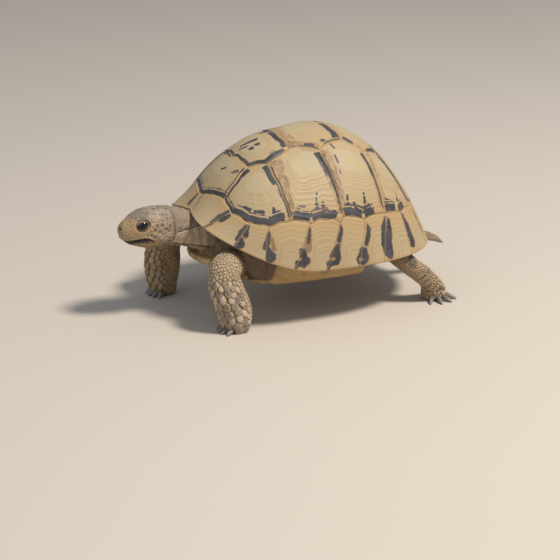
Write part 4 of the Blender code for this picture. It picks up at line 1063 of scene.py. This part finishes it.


# Colours of the flesh are worked out from places in space, so that the skin and its scales carry the same
# ones:
# ochre, dark, grey and pale shares (the dark share partly dark mottling, partly painted shade), dark scales
# on the temple, the smooth beak, and painted shade on skin deep in the openings
def fleshTints(points):
    x, y, z = np.abs(points[..., 0]), points[..., 1], points[..., 2]
    blot, fleck = roughNoise(points, 9.0, 81), roughNoise(points, 3.2, 82)
    rel = points * ownSide(points) - eyes["centre"]
    eyeGap = np.linalg.norm(rel, axis=-1)
    strokes = [[(*row[:3], (row[3] + row[4]) / 2) for row in limb["path"][2:]] for limb in limbs.values()]
    onLimb = 1 - easeStep(strokeDistance(points, strokes), -0.2, 2.4)
    fore, hind = onLimb * (y < 0), onLimb * (y > 0)
    onHead = easeStep(-y, 78.5, 81.5)
    neck = easeStep(-y, 50, 58) * (1 - onHead) * easeStep(20 - x, 0, 3)
    face = easeStep(-y, 86, 98) * easeStep(52 - z, -0.5, 4.0)
    crown = onHead * easeStep(z, 47.5, 52)
    temple = easeStep(-y, 80.5, 83) * easeStep(y, -98, -92.5) * easeStep(z, 34, 38)
    warm = 0.35 + 0.30 * blot + onHead * (
        0.62 * face + 0.25 * easeStep(z, 26, 36) * easeStep(50 - z, 0, 6) - 0.10)
    warm = (warm - 0.6 * crown - 0.25 * temple + neck * (0.40 * easeStep(36 - z, -2, 8) - 0.15)
            + 0.15 * fore + 0.1 * hind)
    mouthGap = z - np.interp(y, *np.array(mouthLine).T)
    front = easeStep(-y, 96, 108)
    beak = easeStep(-y, 93, 95) * easeStep(mouthGap, -1.6 - 2.4 * front, -0.8 - 2.4 * front) \
        * easeStep(-mouthGap, -0.9 - 2.6 * front, -0.3 - 2.6 * front)
    shade = 0.25 * easeStep(blot + fleck, 0.1, 1.0) + 0.10 * crown
    # painted shade in the mouth line and on the lower beak just below it
    mouthShade = easeStep(-y, 92.5, 94) * (np.exp(-(mouthGap / 0.8) ** 2)
                                     + 0.95 * easeStep(-y, 93, 99) * np.exp(-((mouthGap + 1.6) / 1.5) ** 2))
    upper, lower = neckLines(y, z)
    band = neck * easeStep(-upper, -0.5, 0.8) * easeStep(lower, -0.8, 0.5)
    # painted shade in the two neck folds
    folds = neck * (0.6 * np.exp(-((upper - 0.4) / 0.5) ** 2) + 0.75 * np.exp(-((lower + 0.8) / 0.7) ** 2))
    below = (onHead * easeStep(-y, 84.5, 87) * easeStep(y, -101.5, -99)
             * np.exp(-((z - 39.4 - 0.05 * (y + 93)) / 1.2) ** 2))
    nostril = easeStep(1.5 - np.sqrt((x - 1.9) ** 2 + (z - 43.3) ** 2), 0, 0.7) * easeStep(-y, 108, 110.5)
    # painted shade in the mouth, the nostrils, the neck folds, round the sunken eye and under the head
    for dark in (mouthShade, nostril, folds, 0.45 * easeStep(5.2 - eyeGap, -0.3, 0.6),
                 0.35 * onHead * easeStep(33 - z, 0, 3)):
        shade = np.maximum(shade, dark)
    grey = 0.45 + 0.35 * roughNoise(points, 7.0, 83) + onHead * (0.5 * crown - 0.35 * face)
    kneeGap = np.sqrt(((x - 50) / 1.2) ** 2 + ((y - 73.5) / 0.9) ** 2 + ((z - 11.5) / 1.3) ** 2)
    knee = hind * easeStep(3.6 - kneeGap, -0.7, 0.4)
    ankle = hind * easeStep(y, 76, 80) * easeStep(6 - z, 0, 3) * easeStep(z, -16, -12)
    # the far foreleg: painted shade, darker and less pale, with a warm painted bounce light
    far = fore * (points[..., 0] < 0)
    warm = warm + 0.50 * far + 0.3 * band
    warm = warm + 0.18 * hind * (1 - knee)
    shade = shade + far * (0.24 + 0.2 * blot) + 0.4 * knee + 0.12 * hind
    # painted shade in the creases across the hind ankle
    shade = shade + 0.5 * ankle * easeStep(np.sin(1.5 * (z * 0.8 - y * 0.6) + 1.5 * blot), 0.55, 0.95)
    pale = (0.20 * easeStep(fleck, 0.1, 0.8) + fore * (0.44 + 0.3 * fleck) + 0.15 * hind + 0.45 * temple
            - 0.7 * far)
    # the tan band between the neck folds is paler and warmer: partly its own colour, partly painted light on
    # the downward-facing lower neck
    pale = pale + neck * 0.22 + 0.55 * band
    # inner: painted shade on the skin deep in the openings under the shell
    inner = easeStep(y, -60, -49) * easeStep(-y, -20, 0) * (1 - onLimb) * 0.8
    values = {"warm": warm, "shade": shade, "grey": grey + 0.7 * knee, "pale": pale,
              "mottle": temple + 0.45 * crown + 0.35 * face + below, "beak": beak, "inner": inner}
    return {key: np.clip(value, 0, 1) for key, value in values.items()}


def fleshColour(wire):
    # grey-brown to ochre, darkened by the shade share (dark mottling, and painted shade in recesses and
    # creases), paler on some scales
    speck = wire.noise(0.7, 4.0)
    blotch = wire.noise(6.0, 3.0)
    tone, edge = wire.attribute("tone"), wire.attribute("edge")
    warm = (wire.attribute("warm") + blotch * 0.5 - 0.25 + tone * 0.3 - 0.15).limited(0.0, 1.0)
    ground = wire.mix(warm, (0.225, 0.175, 0.125), (0.47, 0.315, 0.150))
    ground = wire.mix((wire.attribute("grey") - 0.5 + tone * 0.5).limited(0.1, 0.9) * 0.6, ground,
                      (0.225, 0.205, 0.195))
    ground = wire.mix((speck - 0.5).limited(0.0, 0.25) * 0.35, ground, (0.50, 0.40, 0.27))
    ground = wire.mix((0.5 - speck).limited(0.0, 0.25) * 0.35, ground, (0.11, 0.08, 0.055))
    ground = wire.mix(wire.attribute("pale") * 0.85, ground, (0.62, 0.475, 0.335))
    ground = wire.mix(wire.attribute("beak") * 0.6, ground,
                      wire.mix(speck, (0.14, 0.11, 0.085), (0.40, 0.29, 0.17)))
    dark = (wire.attribute("shade") * (0.75 + speck * 0.5)).limited(0.0, 1.0)
    return wire.mix(dark, ground, (0.042, 0.034, 0.030)), edge, tone, speck


def skinMaterial(wire):
    colour, _, _, speck = fleshColour(wire)
    # painted shade deep in the openings
    colour = wire.mix(wire.attribute("inner"), colour, (0.125, 0.076, 0.040))
    grain = 1.0 - wire.attribute("beak")
    cell = wire.cells(1.1)
    colour = wire.mix((cell - 0.35).limited(0.0, 0.4) * grain * 0.55, colour, (0.085, 0.060, 0.040))
    bump = (cell * grain + speck * 0.3).bump(0.7, 0.35, invert=True)
    return {"Base Color": colour, "Roughness": 0.68 + speck * 0.2, "Normal": bump}


limbSurfaces = {}
for name, limb in limbs.items():
    toes = (limb["heading"], limb["claws"], limb["spread"])
    limbSurfaces[name] = lambda turn, share, limb=limb, toes=toes: limbSurface(turn, share, limb["path"],
                                                                               toes=toes)
limbSurfaces["tail"] = lambda turn, share: limbSurface(turn, share, tailPath, inset=0.45)


def joinSolids(name, shapes):
    # a Boolean union of closed meshes
    made = []
    for number, shape in enumerate(shapes):
        made.append(makePiece(f"{name}Part{number}", *shape))
    whole = made[0]
    for other in made[1:]:
        step = whole.modifiers.new(other.name, "BOOLEAN")
        step.operation, step.solver, step.object = "UNION", "MANIFOLD", other
    graph = bpy.context.evaluated_depsgraph_get()
    mesh = bpy.data.meshes.new_from_object(whole.evaluated_get(graph))
    mesh.name = name
    for piece in made:
        bpy.data.objects.remove(piece, do_unlink=True)
    return mesh


def tubeGrid(surface, length, girth, spacing):
    # a closed grid over a surface, with length, girth and spacing in mm
    shares = np.linspace(0, 1, int(length / (spacing * fine)))
    turns = np.linspace(0, 2 * np.pi, int(girth / (spacing * fine)), endpoint=False)
    return closedGrid(surface(turns[None, :], shares[:, None]))


frontFolds = {"edge": [(0, -61.5), (7, -61.0), (14, -59.5), (22, -54.5), (30, -46.5), (36, -39.0),
                       (48, -33.5), (54, -32),
                      (60, -28)],
              "levels": [17.5, 14.5, 9.5, 12.0, 17.5], "count": 0.42, "depth": 1.0, "thick": 3.4, "end": 27.5,
              "collar": 9.0, "middle": 0}
rearFolds = {"edge": [(0, 78.0), (11, 80.0), (18, 77.0), (24, 72.0), (30, 63.5), (36, 50.0), (41, 40.5),
                      (44, 36.5),
                     (60, 35)],
             "levels": [11.5, 10.0, 7.5, 9.2, 18.0], "count": 0.40, "depth": 0.8, "thick": 3.4, "end": 35.6,
             "collar": 4.0, "middle": 180}
shapes = [trunkShape(),
          curtain((-86, 86), -46.4, frontFolds, 91),
          curtain((96, 264), 60.0, rearFolds, 92),
          tubeGrid(throatSurface, 78, 80, 0.43)]
for name, limb in limbs.items():
    shapes.append(tubeGrid(limbSurfaces[name], 62, 56, 0.75))
shapes.append(tubeGrid(limbSurfaces["tail"], 70, 26, 0.6))
skinMesh = joinSolids("skin", shapes)
print("skin joined", len(skinMesh.vertices), len(skinMesh.polygons))


def meshPoints(mesh):
    points = np.empty(len(mesh.vertices) * 3)
    mesh.vertices.foreach_get("co", points)
    return points.reshape(-1, 3) / mm - shellZero


def addValues(mesh, values):
    for key, value in values.items():
        value = np.broadcast_to(value, len(mesh.vertices)).astype(np.float32)
        mesh.attributes.new(key, "FLOAT", "POINT").data.foreach_set("value", np.ascontiguousarray(value))


fleshSkin = newMaterial("fleshSkin", skinMaterial, Specular_IOR_Level=0.35)
skin = bpy.data.objects.new("skin", skinMesh)
bpy.context.scene.collection.objects.link(skin)
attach(skin, "root")
fleshNodes = ["trunk", "head", "lower_jaw", "neck", "tail"]
for limb in limbs.values():
    fleshNodes += list(limb["nodes"])
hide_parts(*fleshNodes)
addValues(skinMesh, {**fleshTints(meshPoints(skinMesh)), "tone": 0.5, "edge": 0.5})
skinMesh.shade_smooth()
setMaterial(skin, fleshSkin)
print("skin made")


# Scales: a rounded many-sided pad over each cell between scattered centres, its outline where the next
# scales begin, its far edge raised over the one behind where it overlaps
def surfaceFrame(surface, turn, share):
    # the point, its outward normal, the direction round the body and the direction along it, both in mm
    step = 2e-3
    point = surface(turn, share)
    about = (surface(turn + step, share) - surface(turn - step, share)) / (2 * step)
    low, high = np.maximum(share - step, 0), np.minimum(share + step, 1)
    along = (surface(turn, high) - surface(turn, low)) / (high - low)[..., None]
    roundLength = np.linalg.norm(about, axis=-1, keepdims=True) + 1e-6
    across = about / roundLength
    skew = (along * across).sum(axis=-1, keepdims=True)
    lie = along - skew * across
    lieLength = np.linalg.norm(lie, axis=-1, keepdims=True) + 1e-6
    lie = lie / lieLength
    normal = np.cross(across, lie)
    return point, normal, across, lie, roundLength[..., 0], lieLength[..., 0], skew[..., 0]


def placeTree(points):
    tree = KDTree(len(points))
    for number, place in enumerate(points):
        tree.insert(place, number)
    tree.balance()
    return tree


def scatter(surface, size, limits, seed):
    # random places, kept in random order (larger scales first) while no kept one is nearer than their size
    draw = np.random.default_rng(seed)
    most = 60000
    turn = draw.uniform(0, 2 * np.pi, most)
    share = draw.uniform(*limits, most)
    point, _, _, _, roundLength, lieLength, _ = surfaceFrame(surface, turn, share)
    wanted = size(point, turn, share)
    weight = roundLength * lieLength / np.maximum(wanted, 0.3) ** 2 * (wanted > 0)
    keep = draw.uniform(0, 1, most) < weight / np.quantile(weight, 0.97)
    turn, share, point, wanted = turn[keep], share[keep], point[keep], wanted[keep]
    order = np.argsort(-wanted * draw.uniform(0.85, 1.15, len(wanted)))
    tree = placeTree(point)
    free = np.ones(len(point), bool)
    kept = []
    for number in order:
        if not free[number]:
            continue
        kept.append(number)
        for _, other, _ in tree.find_range(point[number], wanted[number] * 0.86):
            free[other] = False
    kept = np.array(kept)
    return turn[kept], share[kept], wanted[kept]


def scaleCoat(name, surface, size, shape, limits, patch, seed, lowest=None):
    # shape gives height, tilt, overlap and gap in mm or shares from the places of the scales
    turn, share, wanted = scatter(surface, size, limits, seed)
    point, normal, across, lie, roundLength, lieLength, skew = surfaceFrame(surface, turn, share)
    count = len(turn)
    tree = placeTree(point)
    near = np.array([[found[1] for found in tree.find_n(place, 13)] for place in point])[:, 1:]
    offset = point[near] - point[:, None]
    gap = np.stack([(offset * across[:, None]).sum(-1), (offset * lie[:, None]).sum(-1)], -1)
    half = (np.linalg.norm(gap, axis=-1) ** 2 + 1e-6) / 2 * (2 * wanted
                                                             / (wanted + wanted[near].mean(axis=1)))[:, None]
    sides = 9
    draw = np.random.default_rng(seed + 9)
    angle = np.linspace(0, 2 * np.pi, sides, endpoint=False) + draw.uniform(0, 0.5, (count, 1))
    ray = np.stack([np.cos(angle), np.sin(angle)], -1)
    facing = np.maximum(np.einsum("nkc,nsc->nks", gap, ray), 0) / half[..., None]
    form = shape(point, turn, share, wanted)
    radius = ((facing ** 9).sum(axis=1) + (1 / (0.80 * wanted[:, None])) ** 9) ** (-1 / 9)
    radius = radius * (1 - form["gap"][:, None]) * (1 + form["overlap"][:, None]
                                                    * np.maximum(ray[..., 1], 0) ** 2.5)
    profile = np.array([(0.0, 1.0), (0.55, 0.92), (0.86, 0.55), (1.0, 0.05), (0.95, -0.55)])
    spread = radius[:, None, :, None] * profile[None, 1:, None, :1] * ray[:, None]
    rings = len(profile) - 1
    rise = profile[None, 1:, 1, None] * form["height"][:, None, None]
    lifted = spread[..., 1] / wanted[:, None, None]
    rough = 1 + 0.25 * draw.uniform(-1, 1, (count, rings, sides)) * (profile[None, 1:, 1, None] > 0.5)
    rise = rise * rough + form["tilt"][:, None, None] * np.clip(lifted + 0.45, 0,
                                                                1.6) * (profile[None, 1:, 1, None] > -0.2)
    centreRise = form["height"] + form["tilt"] * 0.45
    down = spread[..., 1] / lieLength[:, None, None]
    turned = (spread[..., 0] - down * skew[:, None, None]) / roundLength[:, None, None]
    shareAt = np.clip(share[:, None, None] + down, 0, 1)
    base = surface(turn[:, None, None] + turned, shareAt)
    body = base + normal[:, None, None] * rise[..., None]
    top = point + normal * centreRise[:, None]
    bottom = point - normal * (0.55 * form["height"])[:, None]
    points = np.concatenate([body.reshape(count, -1, 3), top[:, None], bottom[:, None]], axis=1)
    if lowest is not None:
        points[..., 2] = np.maximum(points[..., 2], lowest)
    each = rings * sides + 2
    quads = gridFaces(rings, sides, closed=True)
    triangles = endFans(rings, sides)
    shift = (np.arange(count) * each)[:, None, None]
    allQuads, allTriangles = (quads + shift).reshape(-1, 4), (triangles + shift).reshape(-1, 3)
    tints = {key: np.repeat(value, each) for key, value in fleshTints(point).items()}
    edge = np.concatenate([np.repeat(profile[1:, 0], sides), [0.0, 1.0]])
    tints["edge"] = np.tile(edge, count)
    tints["tone"] = np.repeat(draw.uniform(0, 1, count), each)
    tints["shield"] = np.repeat(form["shield"], each)
    x0, y0, x1, y1 = patch
    root = np.stack([x0 + (turn / (2 * np.pi) % 1) * (x1 - x0), y0 + share * (y1 - y0)], -1)
    flat = np.concatenate([(spread / wanted[:, None, None, None]).reshape(count, -1, 2),
                           np.zeros((count, 2, 2))], axis=1)
    uv = np.clip(root[:, None] + 0.0015 * flat, 0, 1).reshape(-1, 2)
    inner = np.cross(points[:, 1] - points[:, 0], points[:, rings * sides] - points[:, 0])
    flip = ((inner * normal).sum(-1)).mean() < 0
    if flip:
        allQuads, allTriangles = allQuads[:, ::-1], allTriangles[:, ::-1]
    piece = makePiece(name, points.reshape(-1, 3), allQuads, allTriangles, tints, uv, outward=False)
    setMaterial(piece, fleshScale)
    print(name, count, "scales", len(allQuads) * 2 + len(allTriangles), "triangles")
    return piece


def scaleMaterial(wire):
    colour, edge, tone, speck = fleshColour(wire)
    shield = wire.attribute("shield")
    plate = wire.mix((tone + speck * 0.5 - 0.55).limited(0.0, 0.4), (0.135, 0.128, 0.130),
                     (0.47, 0.395, 0.32))
    # plates fade out where the shade share is, so the painted shade covers them too
    colour = wire.mix(shield * (1.0 - (edge - 0.5).limited(0.0, 0.45))
                      * (0.85 - wire.attribute("shade") * 0.9), colour, plate)
    colour = wire.mix(shield * (edge - 0.5).limited(0.0, 0.4) * (0.35 + tone * 0.4), colour,
                      (0.50, 0.34, 0.15))
    mottle = wire.attribute("mottle")
    core = 1.0 - (edge - 0.58).limited(0.0, 0.3)
    colour = wire.mix(mottle * (tone - 0.15).limited(0.0, 0.4) * core * 0.9, colour, (0.098, 0.080, 0.074))
    colour = wire.mix(mottle * (edge - 0.7).limited(0.0, 0.25) * 0.6, colour, (0.56, 0.45, 0.31))
    colour = wire.mix((edge - 0.78).limited(0.0, 0.22) * 0.6, colour, (0.10, 0.070, 0.045))
    # painted shade deep in the openings
    colour = wire.mix(wire.attribute("inner") * 0.8, colour, (0.115, 0.070, 0.036))
    bump = (wire.noise(0.35) + speck).bump(0.35, 0.08)
    return {"Base Color": colour, "Roughness": 0.50 + speck * 0.25 - shield * 0.08, "Normal": bump}


fleshScale = newMaterial("fleshScale", scaleMaterial, Specular_IOR_Level=0.45)


def headSize(point, turn, share):
    x, y, z = np.abs(point[..., 0]), point[..., 1], point[..., 2]
    _, rear, up = eyeFrame()
    rel = point * ownSide(point) - eyes["centre"]
    reach = np.hypot(rel @ rear / eyes["half"][0], rel @ up / eyes["half"][1])
    size = 1.15 + 1.6 * easeStep(-y, 79, 83) * easeStep(z, 32, 38) * easeStep(y, -101, -94)
    size = (size + 0.9 * easeStep(z, 48, 52) * easeStep(-y, 86, 92)
            + 0.5 * easeStep(-y, 100, 104) * easeStep(z, 44, 47))
    size = size - 0.6 * np.exp(-((reach - 1.6) / 0.8) ** 2)
    size = np.where(fleshTints(point)["beak"] > 0.4, 0, size)
    size = np.where((reach < 1.62) & (x > 5), 0, size)
    size = np.where(np.abs(y - jawFold(z) - 0.3) < 0.7, 0, size)
    size = size - 0.15 * easeStep(y, -79, -76) * (1 - easeStep(y, -60, -50))
    return np.where((y < -113.1) | (y > -49), 0, size)


def headShape(point, turn, share, size):
    y, z = point[..., 1], point[..., 2]
    head = easeStep(-y, 79, 82)
    top = easeStep(z, 47, 51) * head
    height = 0.17 * size ** 0.6 * (1 - 0.6 * top)
    return {"height": height, "tilt": 0.04 + 0 * y, "overlap": 0 * y, "gap": 0.08 - 0.05 * top,
            "shield": 0.35 * head * (size > 1.7)}


scaleCoat("headScales", throatSurface, headSize, headShape, (0.10, 0.985), (0.0, 0.0, 0.45, 0.6), 31)


def limbSize(limb):
    centreTurn, width = limb["shield"]
    fore = limb["fore"]

    def size(point, turn, share):
        off = np.abs((turn - centreTurn + np.pi) % (2 * np.pi) - np.pi)
        facing = easeStep(width - off, -0.5, 0.7)
        low = easeStep(share, 0.24, 0.58)
        if fore:
            value = 1.25 + facing * (0.7 + 2.4 * low) + 0.5 * low
            value = value - 1.2 * easeStep(share, 0.90, 0.97)
        else:
            value = 1.3 + facing * 0.8 * easeStep(share, 0.15, 0.5) + 0.9 * easeStep(share, 0.55, 0.75)
            value = value - 0.7 * easeStep(share, 0.90, 0.97)
        return np.where(share < 0.07, 0, value)
    return size


def limbShape(limb):
    def shape(point, turn, share, size):
        large = easeStep(size, 1.9, 3.4)
        return {"height": 0.24 * size ** 0.75 * (1 + 0.25 * large), "tilt": 0.14 + 0.75 * large,
                "overlap": 0.12 + 0.46 * large, "gap": 0.09 + 0 * size, "shield": large * limb["plates"]}
    return shape


for number, (name, limb) in enumerate(limbs.items()):
    corner = (0.5 + 0.25 * (number % 2), 0.5 * (number // 2))
    patch = (*corner, corner[0] + 0.24, corner[1] + 0.48)
    scaleCoat(f"{name}Scales", limbSurfaces[name], limbSize(limb), limbShape(limb), (0.05, 0.985), patch,
              40 + number, floorLevel)
tailSize = lambda point, turn, share: np.where(share > 0.35, 2.3 - 1.3 * share, 0)
tailForm = lambda point, turn, share, size: {
    "height": 0.2 * size, "tilt": 0.25 + 0 * size, "overlap": 0.3 + 0 * size,
    "gap": 0.06 + 0 * size, "shield": 0.3 + 0 * size}
scaleCoat("tailScales", limbSurfaces["tail"], tailSize, tailForm, (0.3, 0.97), (0.0, 0.62, 0.3, 0.95), 55)
print("scales made")


def eyeballMaterial(wire):
    # dark brown round a black pupil, by the distance from the ball's front
    iris = wire.attribute("iris")
    brown = wire.mix(wire.noise(0.6, 3.0), (0.030, 0.017, 0.009), (0.010, 0.007, 0.006))
    colour = wire.mix((iris - 0.45).limited(0.0, 0.08), (0.002, 0.002, 0.002), brown)
    return {"Base Color": wire.mix((iris - 0.78).limited(0.0, 0.1), colour, (0.012, 0.009, 0.008)),
            "Roughness": 0.04 + iris * 0.03}


def lidMaterial(wire):
    fold, speck = wire.attribute("fold"), wire.noise(0.5, 3.0)
    # painted shade: the lid is darker where it sits lower (its creases and where it dips into the skin) and
    # paler where it stands higher
    colour = wire.mix(fold, (0.10, 0.075, 0.055), (0.40, 0.31, 0.20))
    colour = wire.mix((0.14 - wire.attribute("outer")).limited(0.0, 0.12), colour, (0.030, 0.024, 0.020))
    colour = wire.mix((wire.attribute("outer") - 0.5).limited(0.0, 0.5) * 0.7, colour, (0.44, 0.32, 0.18))
    colour = wire.mix((0.5 - speck).limited(0.0, 0.2) * 0.4, colour, (0.10, 0.08, 0.06))
    bump = speck.bump(0.4, 0.1)
    return {"Base Color": colour, "Roughness": 0.45 + speck * 0.2, "Normal": bump}


def clawMaterial(wire):
    along, grain = wire.attribute("along"), wire.noise(0.8, 4.0, (1.0, 1.0, 0.3))
    colour = wire.mix((along * 0.8 + grain * 0.4 - 0.2).limited(0.0, 1.0), (0.050, 0.047, 0.046),
                      (0.27, 0.235, 0.19))
    bump = grain.bump(0.3, 0.1)
    return {"Base Color": colour, "Roughness": 0.38 + grain * 0.2, "Normal": bump}


wetEye = newMaterial("wetEye", eyeballMaterial, Coat_Weight=0.35, Coat_Roughness=0.02, Specular_IOR_Level=0.3)
eyelid = newMaterial("eyelid", lidMaterial, Specular_IOR_Level=0.4)
clawHorn = newMaterial("clawHorn", clawMaterial, Specular_IOR_Level=0.5)


def eyeball(name, node, mirror):
    # a ball whose rings run round the direction it looks, with a slightly fuller cornea
    look, rear, up = eyeFrame()
    polar = np.linspace(0.001, np.pi - 0.001, int(60 / fine))[:, None]
    around = np.linspace(0, 2 * np.pi, int(64 / fine), endpoint=False)[None, :]
    radius = eyes["radius"] * (1 + 0.02 * np.exp(-(polar / 0.5) ** 2))
    way = (np.cos(polar)[..., None] * look + (np.sin(polar) * np.cos(around))[..., None] * rear
           + (np.sin(polar) * np.sin(around))[..., None] * up)
    points = (np.array(eyes["centre"]) + radius[..., None] * way) * [mirror, 1, 1]
    iris = np.append((np.repeat(polar, points.shape[1], axis=1) / 0.75).ravel(), [0.0, 4.0])
    piece = makePiece(name, *closedGrid(points), {"iris": iris})
    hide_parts(node)
    return setMaterial(piece, wetEye)


def eyelids(name, mirror):
    # a ring of skin round an almond opening: profile rows are (how far out from the opening, mm off the ball)
    look, rear, up = eyeFrame()
    profile = np.array([(0.0, -0.25), (0.0, 0.12), (0.10, 0.30), (0.28, 0.34), (0.44, 0.18), (0.58, 0.32),
                        (0.80, 0.42),
                        (1.05, 0.30), (1.20, 0.12), (1.5, 0.22), (1.8, 0.05), (2.1, -0.5), (2.1, -1.6),
                        (0.6, -1.2)])
    rows = smoothPath(profile, np.linspace(0, 1, int(56 / fine)))
    turn = np.linspace(0, 2 * np.pi, int(110 / fine), endpoint=False)[None, :]
    c, s = np.cos(turn), np.sin(turn)
    halfUp = np.where(s > 0, eyes["half"][1] * 0.96, eyes["half"][1] * 1.05)
    corner = 1 + 0.10 * np.abs(c) ** 6
    out = rows[:, :1] * (1 + 0.25 * np.maximum(s, 0)) * 0.95
    a = (eyes["half"][0] * corner + out) * c
    b = (halfUp * np.abs(s) ** 1.15 * np.sign(s)) + out * s
    flat = np.hypot(a, b)
    ball = (np.sqrt(np.maximum(eyes["radius"] ** 2 - np.minimum(flat, 3.45) ** 2, 0))
            - 0.75 * np.maximum(flat - 3.45, 0))
    depth = ball + rows[:, 1:] * (1 + 0.25 * np.maximum(s, 0))
    points = np.array(eyes["centre"]) + depth[..., None] * look + a[..., None] * rear + b[..., None] * up
    points = points + (0.16 * roughNoise(points, 1.6, 33) * np.clip(rows[:, :1], 0.1, 1))[..., None] * look
    points = points * [mirror, 1, 1]
    count, columns = points.shape[:2]
    # fold: share by height off the ball, for the painted shade in the lid's creases
    fold = np.repeat(np.clip(0.5 + rows[:, 1:] * 1.3 - 0.35, 0, 1), columns, axis=1)
    outer = np.repeat(np.clip(rows[:, :1] / 2.0, 0, 1), columns, axis=1)
    index = gridFaces(count + 1, columns, closed=True) % (count * columns)
    piece = makePiece(name, points, index, None, {"fold": fold, "outer": outer}, outward=False)
    return setMaterial(piece, eyelid)


def clawPiece(name, limb, number):
    # a curved horn, flattened underneath: its middle drops as the share of the way along to the power 1.6
    end = np.array(limb["path"][-1][:3])
    heading = np.radians(limb["heading"] + (number - (limb["claws"] - 1) / 2) * limb["spread"])
    way = np.array([np.sin(heading), -np.cos(heading), 0])
    across = np.array([way[1], -way[0], 0])
    base = end + way * (limb["path"][-1][3] - 3.0) + [0, 0, 3.4]
    share = np.linspace(0, 1, int(30 / fine))[:, None]
    radius = np.interp(share, [0, 0.45, 0.8, 0.95, 1], [1.02, 0.97, 0.62, 0.32, 0.10]) * limb["thickness"]
    middle = (base + way * (limb["length"] + 3.0) * share[..., None]
              + np.array([0, 0, 1.0]) * ((floorLevel + 0.6 - base[2]) * share ** 1.6)[..., None])
    around = np.linspace(0, 2 * np.pi, 20, endpoint=False)[None, :]
    lift = np.where(np.sin(around) < 0, 0.75, 1.0)
    points = (middle + (radius * np.cos(around))[..., None] * across
              + (radius * np.sin(around) * lift)[..., None] * np.array([0, 0, 1.0]))
    points[..., 2] = np.maximum(points[..., 2], floorLevel + 0.02)
    along = np.append(np.repeat(share, points.shape[1], axis=1).ravel(), [0.0, 1.0])
    piece = makePiece(name, *closedGrid(points), {"along": along})
    return setMaterial(piece, clawHorn)


for sideName, mirror in (("left", 1), ("right", -1)):
    eyeball(f"{sideName}Eyeball", f"eye_{sideName}", mirror)
    eyelids(f"{sideName}Eyelids", mirror)
for name, limb in limbs.items():
    for number in range(limb["claws"]):
        clawPiece(f"{name}Claw{number + 1}", limb, number)
print("eyes and claws made")


floorMesh = bpy.data.meshes.new("floor")
floorMesh.from_pydata([(-9, -9, 0), (9, -9, 0), (9, 9, 0), (-9, 9, 0)], [], [(0, 1, 2, 3)])
floorPiece = bpy.data.objects.new("floor", floorMesh)
bpy.context.scene.collection.objects.link(floorPiece)
floorPiece.data.materials.append(newMaterial(
    "paleFloor", lambda wire: {"Base Color": wire.mix(wire.noise(120.0, 2.0) * 0.1, (0.56, 0.50, 0.43),
                                                      (0.50, 0.45, 0.39))},
    Roughness=0.9))

world = bpy.data.worlds.new("studio")
world.use_nodes = True
world.node_tree.nodes["Background"].inputs["Color"].default_value = (0.80, 0.88, 1.0, 1)
world.node_tree.nodes["Background"].inputs["Strength"].default_value = 0.42
bpy.context.scene.world = world

lights = {
    "sunPanel": {"place": (0.78, 0.50, 1.50), "size": 0.34, "power": 33.0, "colour": (1.0, 0.93, 0.83)},
    "fillPanel": {"place": (0.6, -1.6, 0.9), "size": 1.4, "power": 3.5, "colour": (0.92, 0.95, 1.0)},
}
target = Vector((0, 0, 0.05))
for name, values in lights.items():
    data = bpy.data.lights.new(name, "AREA")
    data.shape, data.size, data.energy, data.color = "DISK", values["size"], values["power"], values["colour"]
    lamp = bpy.data.objects.new(name, data)
    lamp.location = values["place"]
    lamp.rotation_euler = (target - lamp.location).to_track_quat("-Z", "Y").to_euler()
    bpy.context.scene.collection.objects.link(lamp)

view = {"bearing": 65.876, "height": 18.687, "distance": 1.1901, "angle": 18.0, "shift": (-0.0007, -0.0193)}
bearing, height = np.radians(view["bearing"]), np.radians(view["height"])
backward = Vector((np.sin(bearing) * np.cos(height), -np.cos(bearing) * np.cos(height), np.sin(height)))
cameraData = bpy.data.cameras.new("camera")
cameraData.sensor_width = 36.0
cameraData.lens = 18.0 / np.tan(np.radians(view["angle"] / 2))
cameraData.shift_x, cameraData.shift_y = view["shift"]
camera = bpy.data.objects.new("camera", cameraData)
camera.location = Vector(shellZero * mm) + backward * view["distance"]
camera.rotation_euler = (-backward).to_track_quat("-Z", "Y").to_euler()
bpy.context.scene.collection.objects.link(camera)
bpy.context.scene.camera = camera
bpy.context.scene.view_settings.view_transform = "Standard"

print("scene ready")
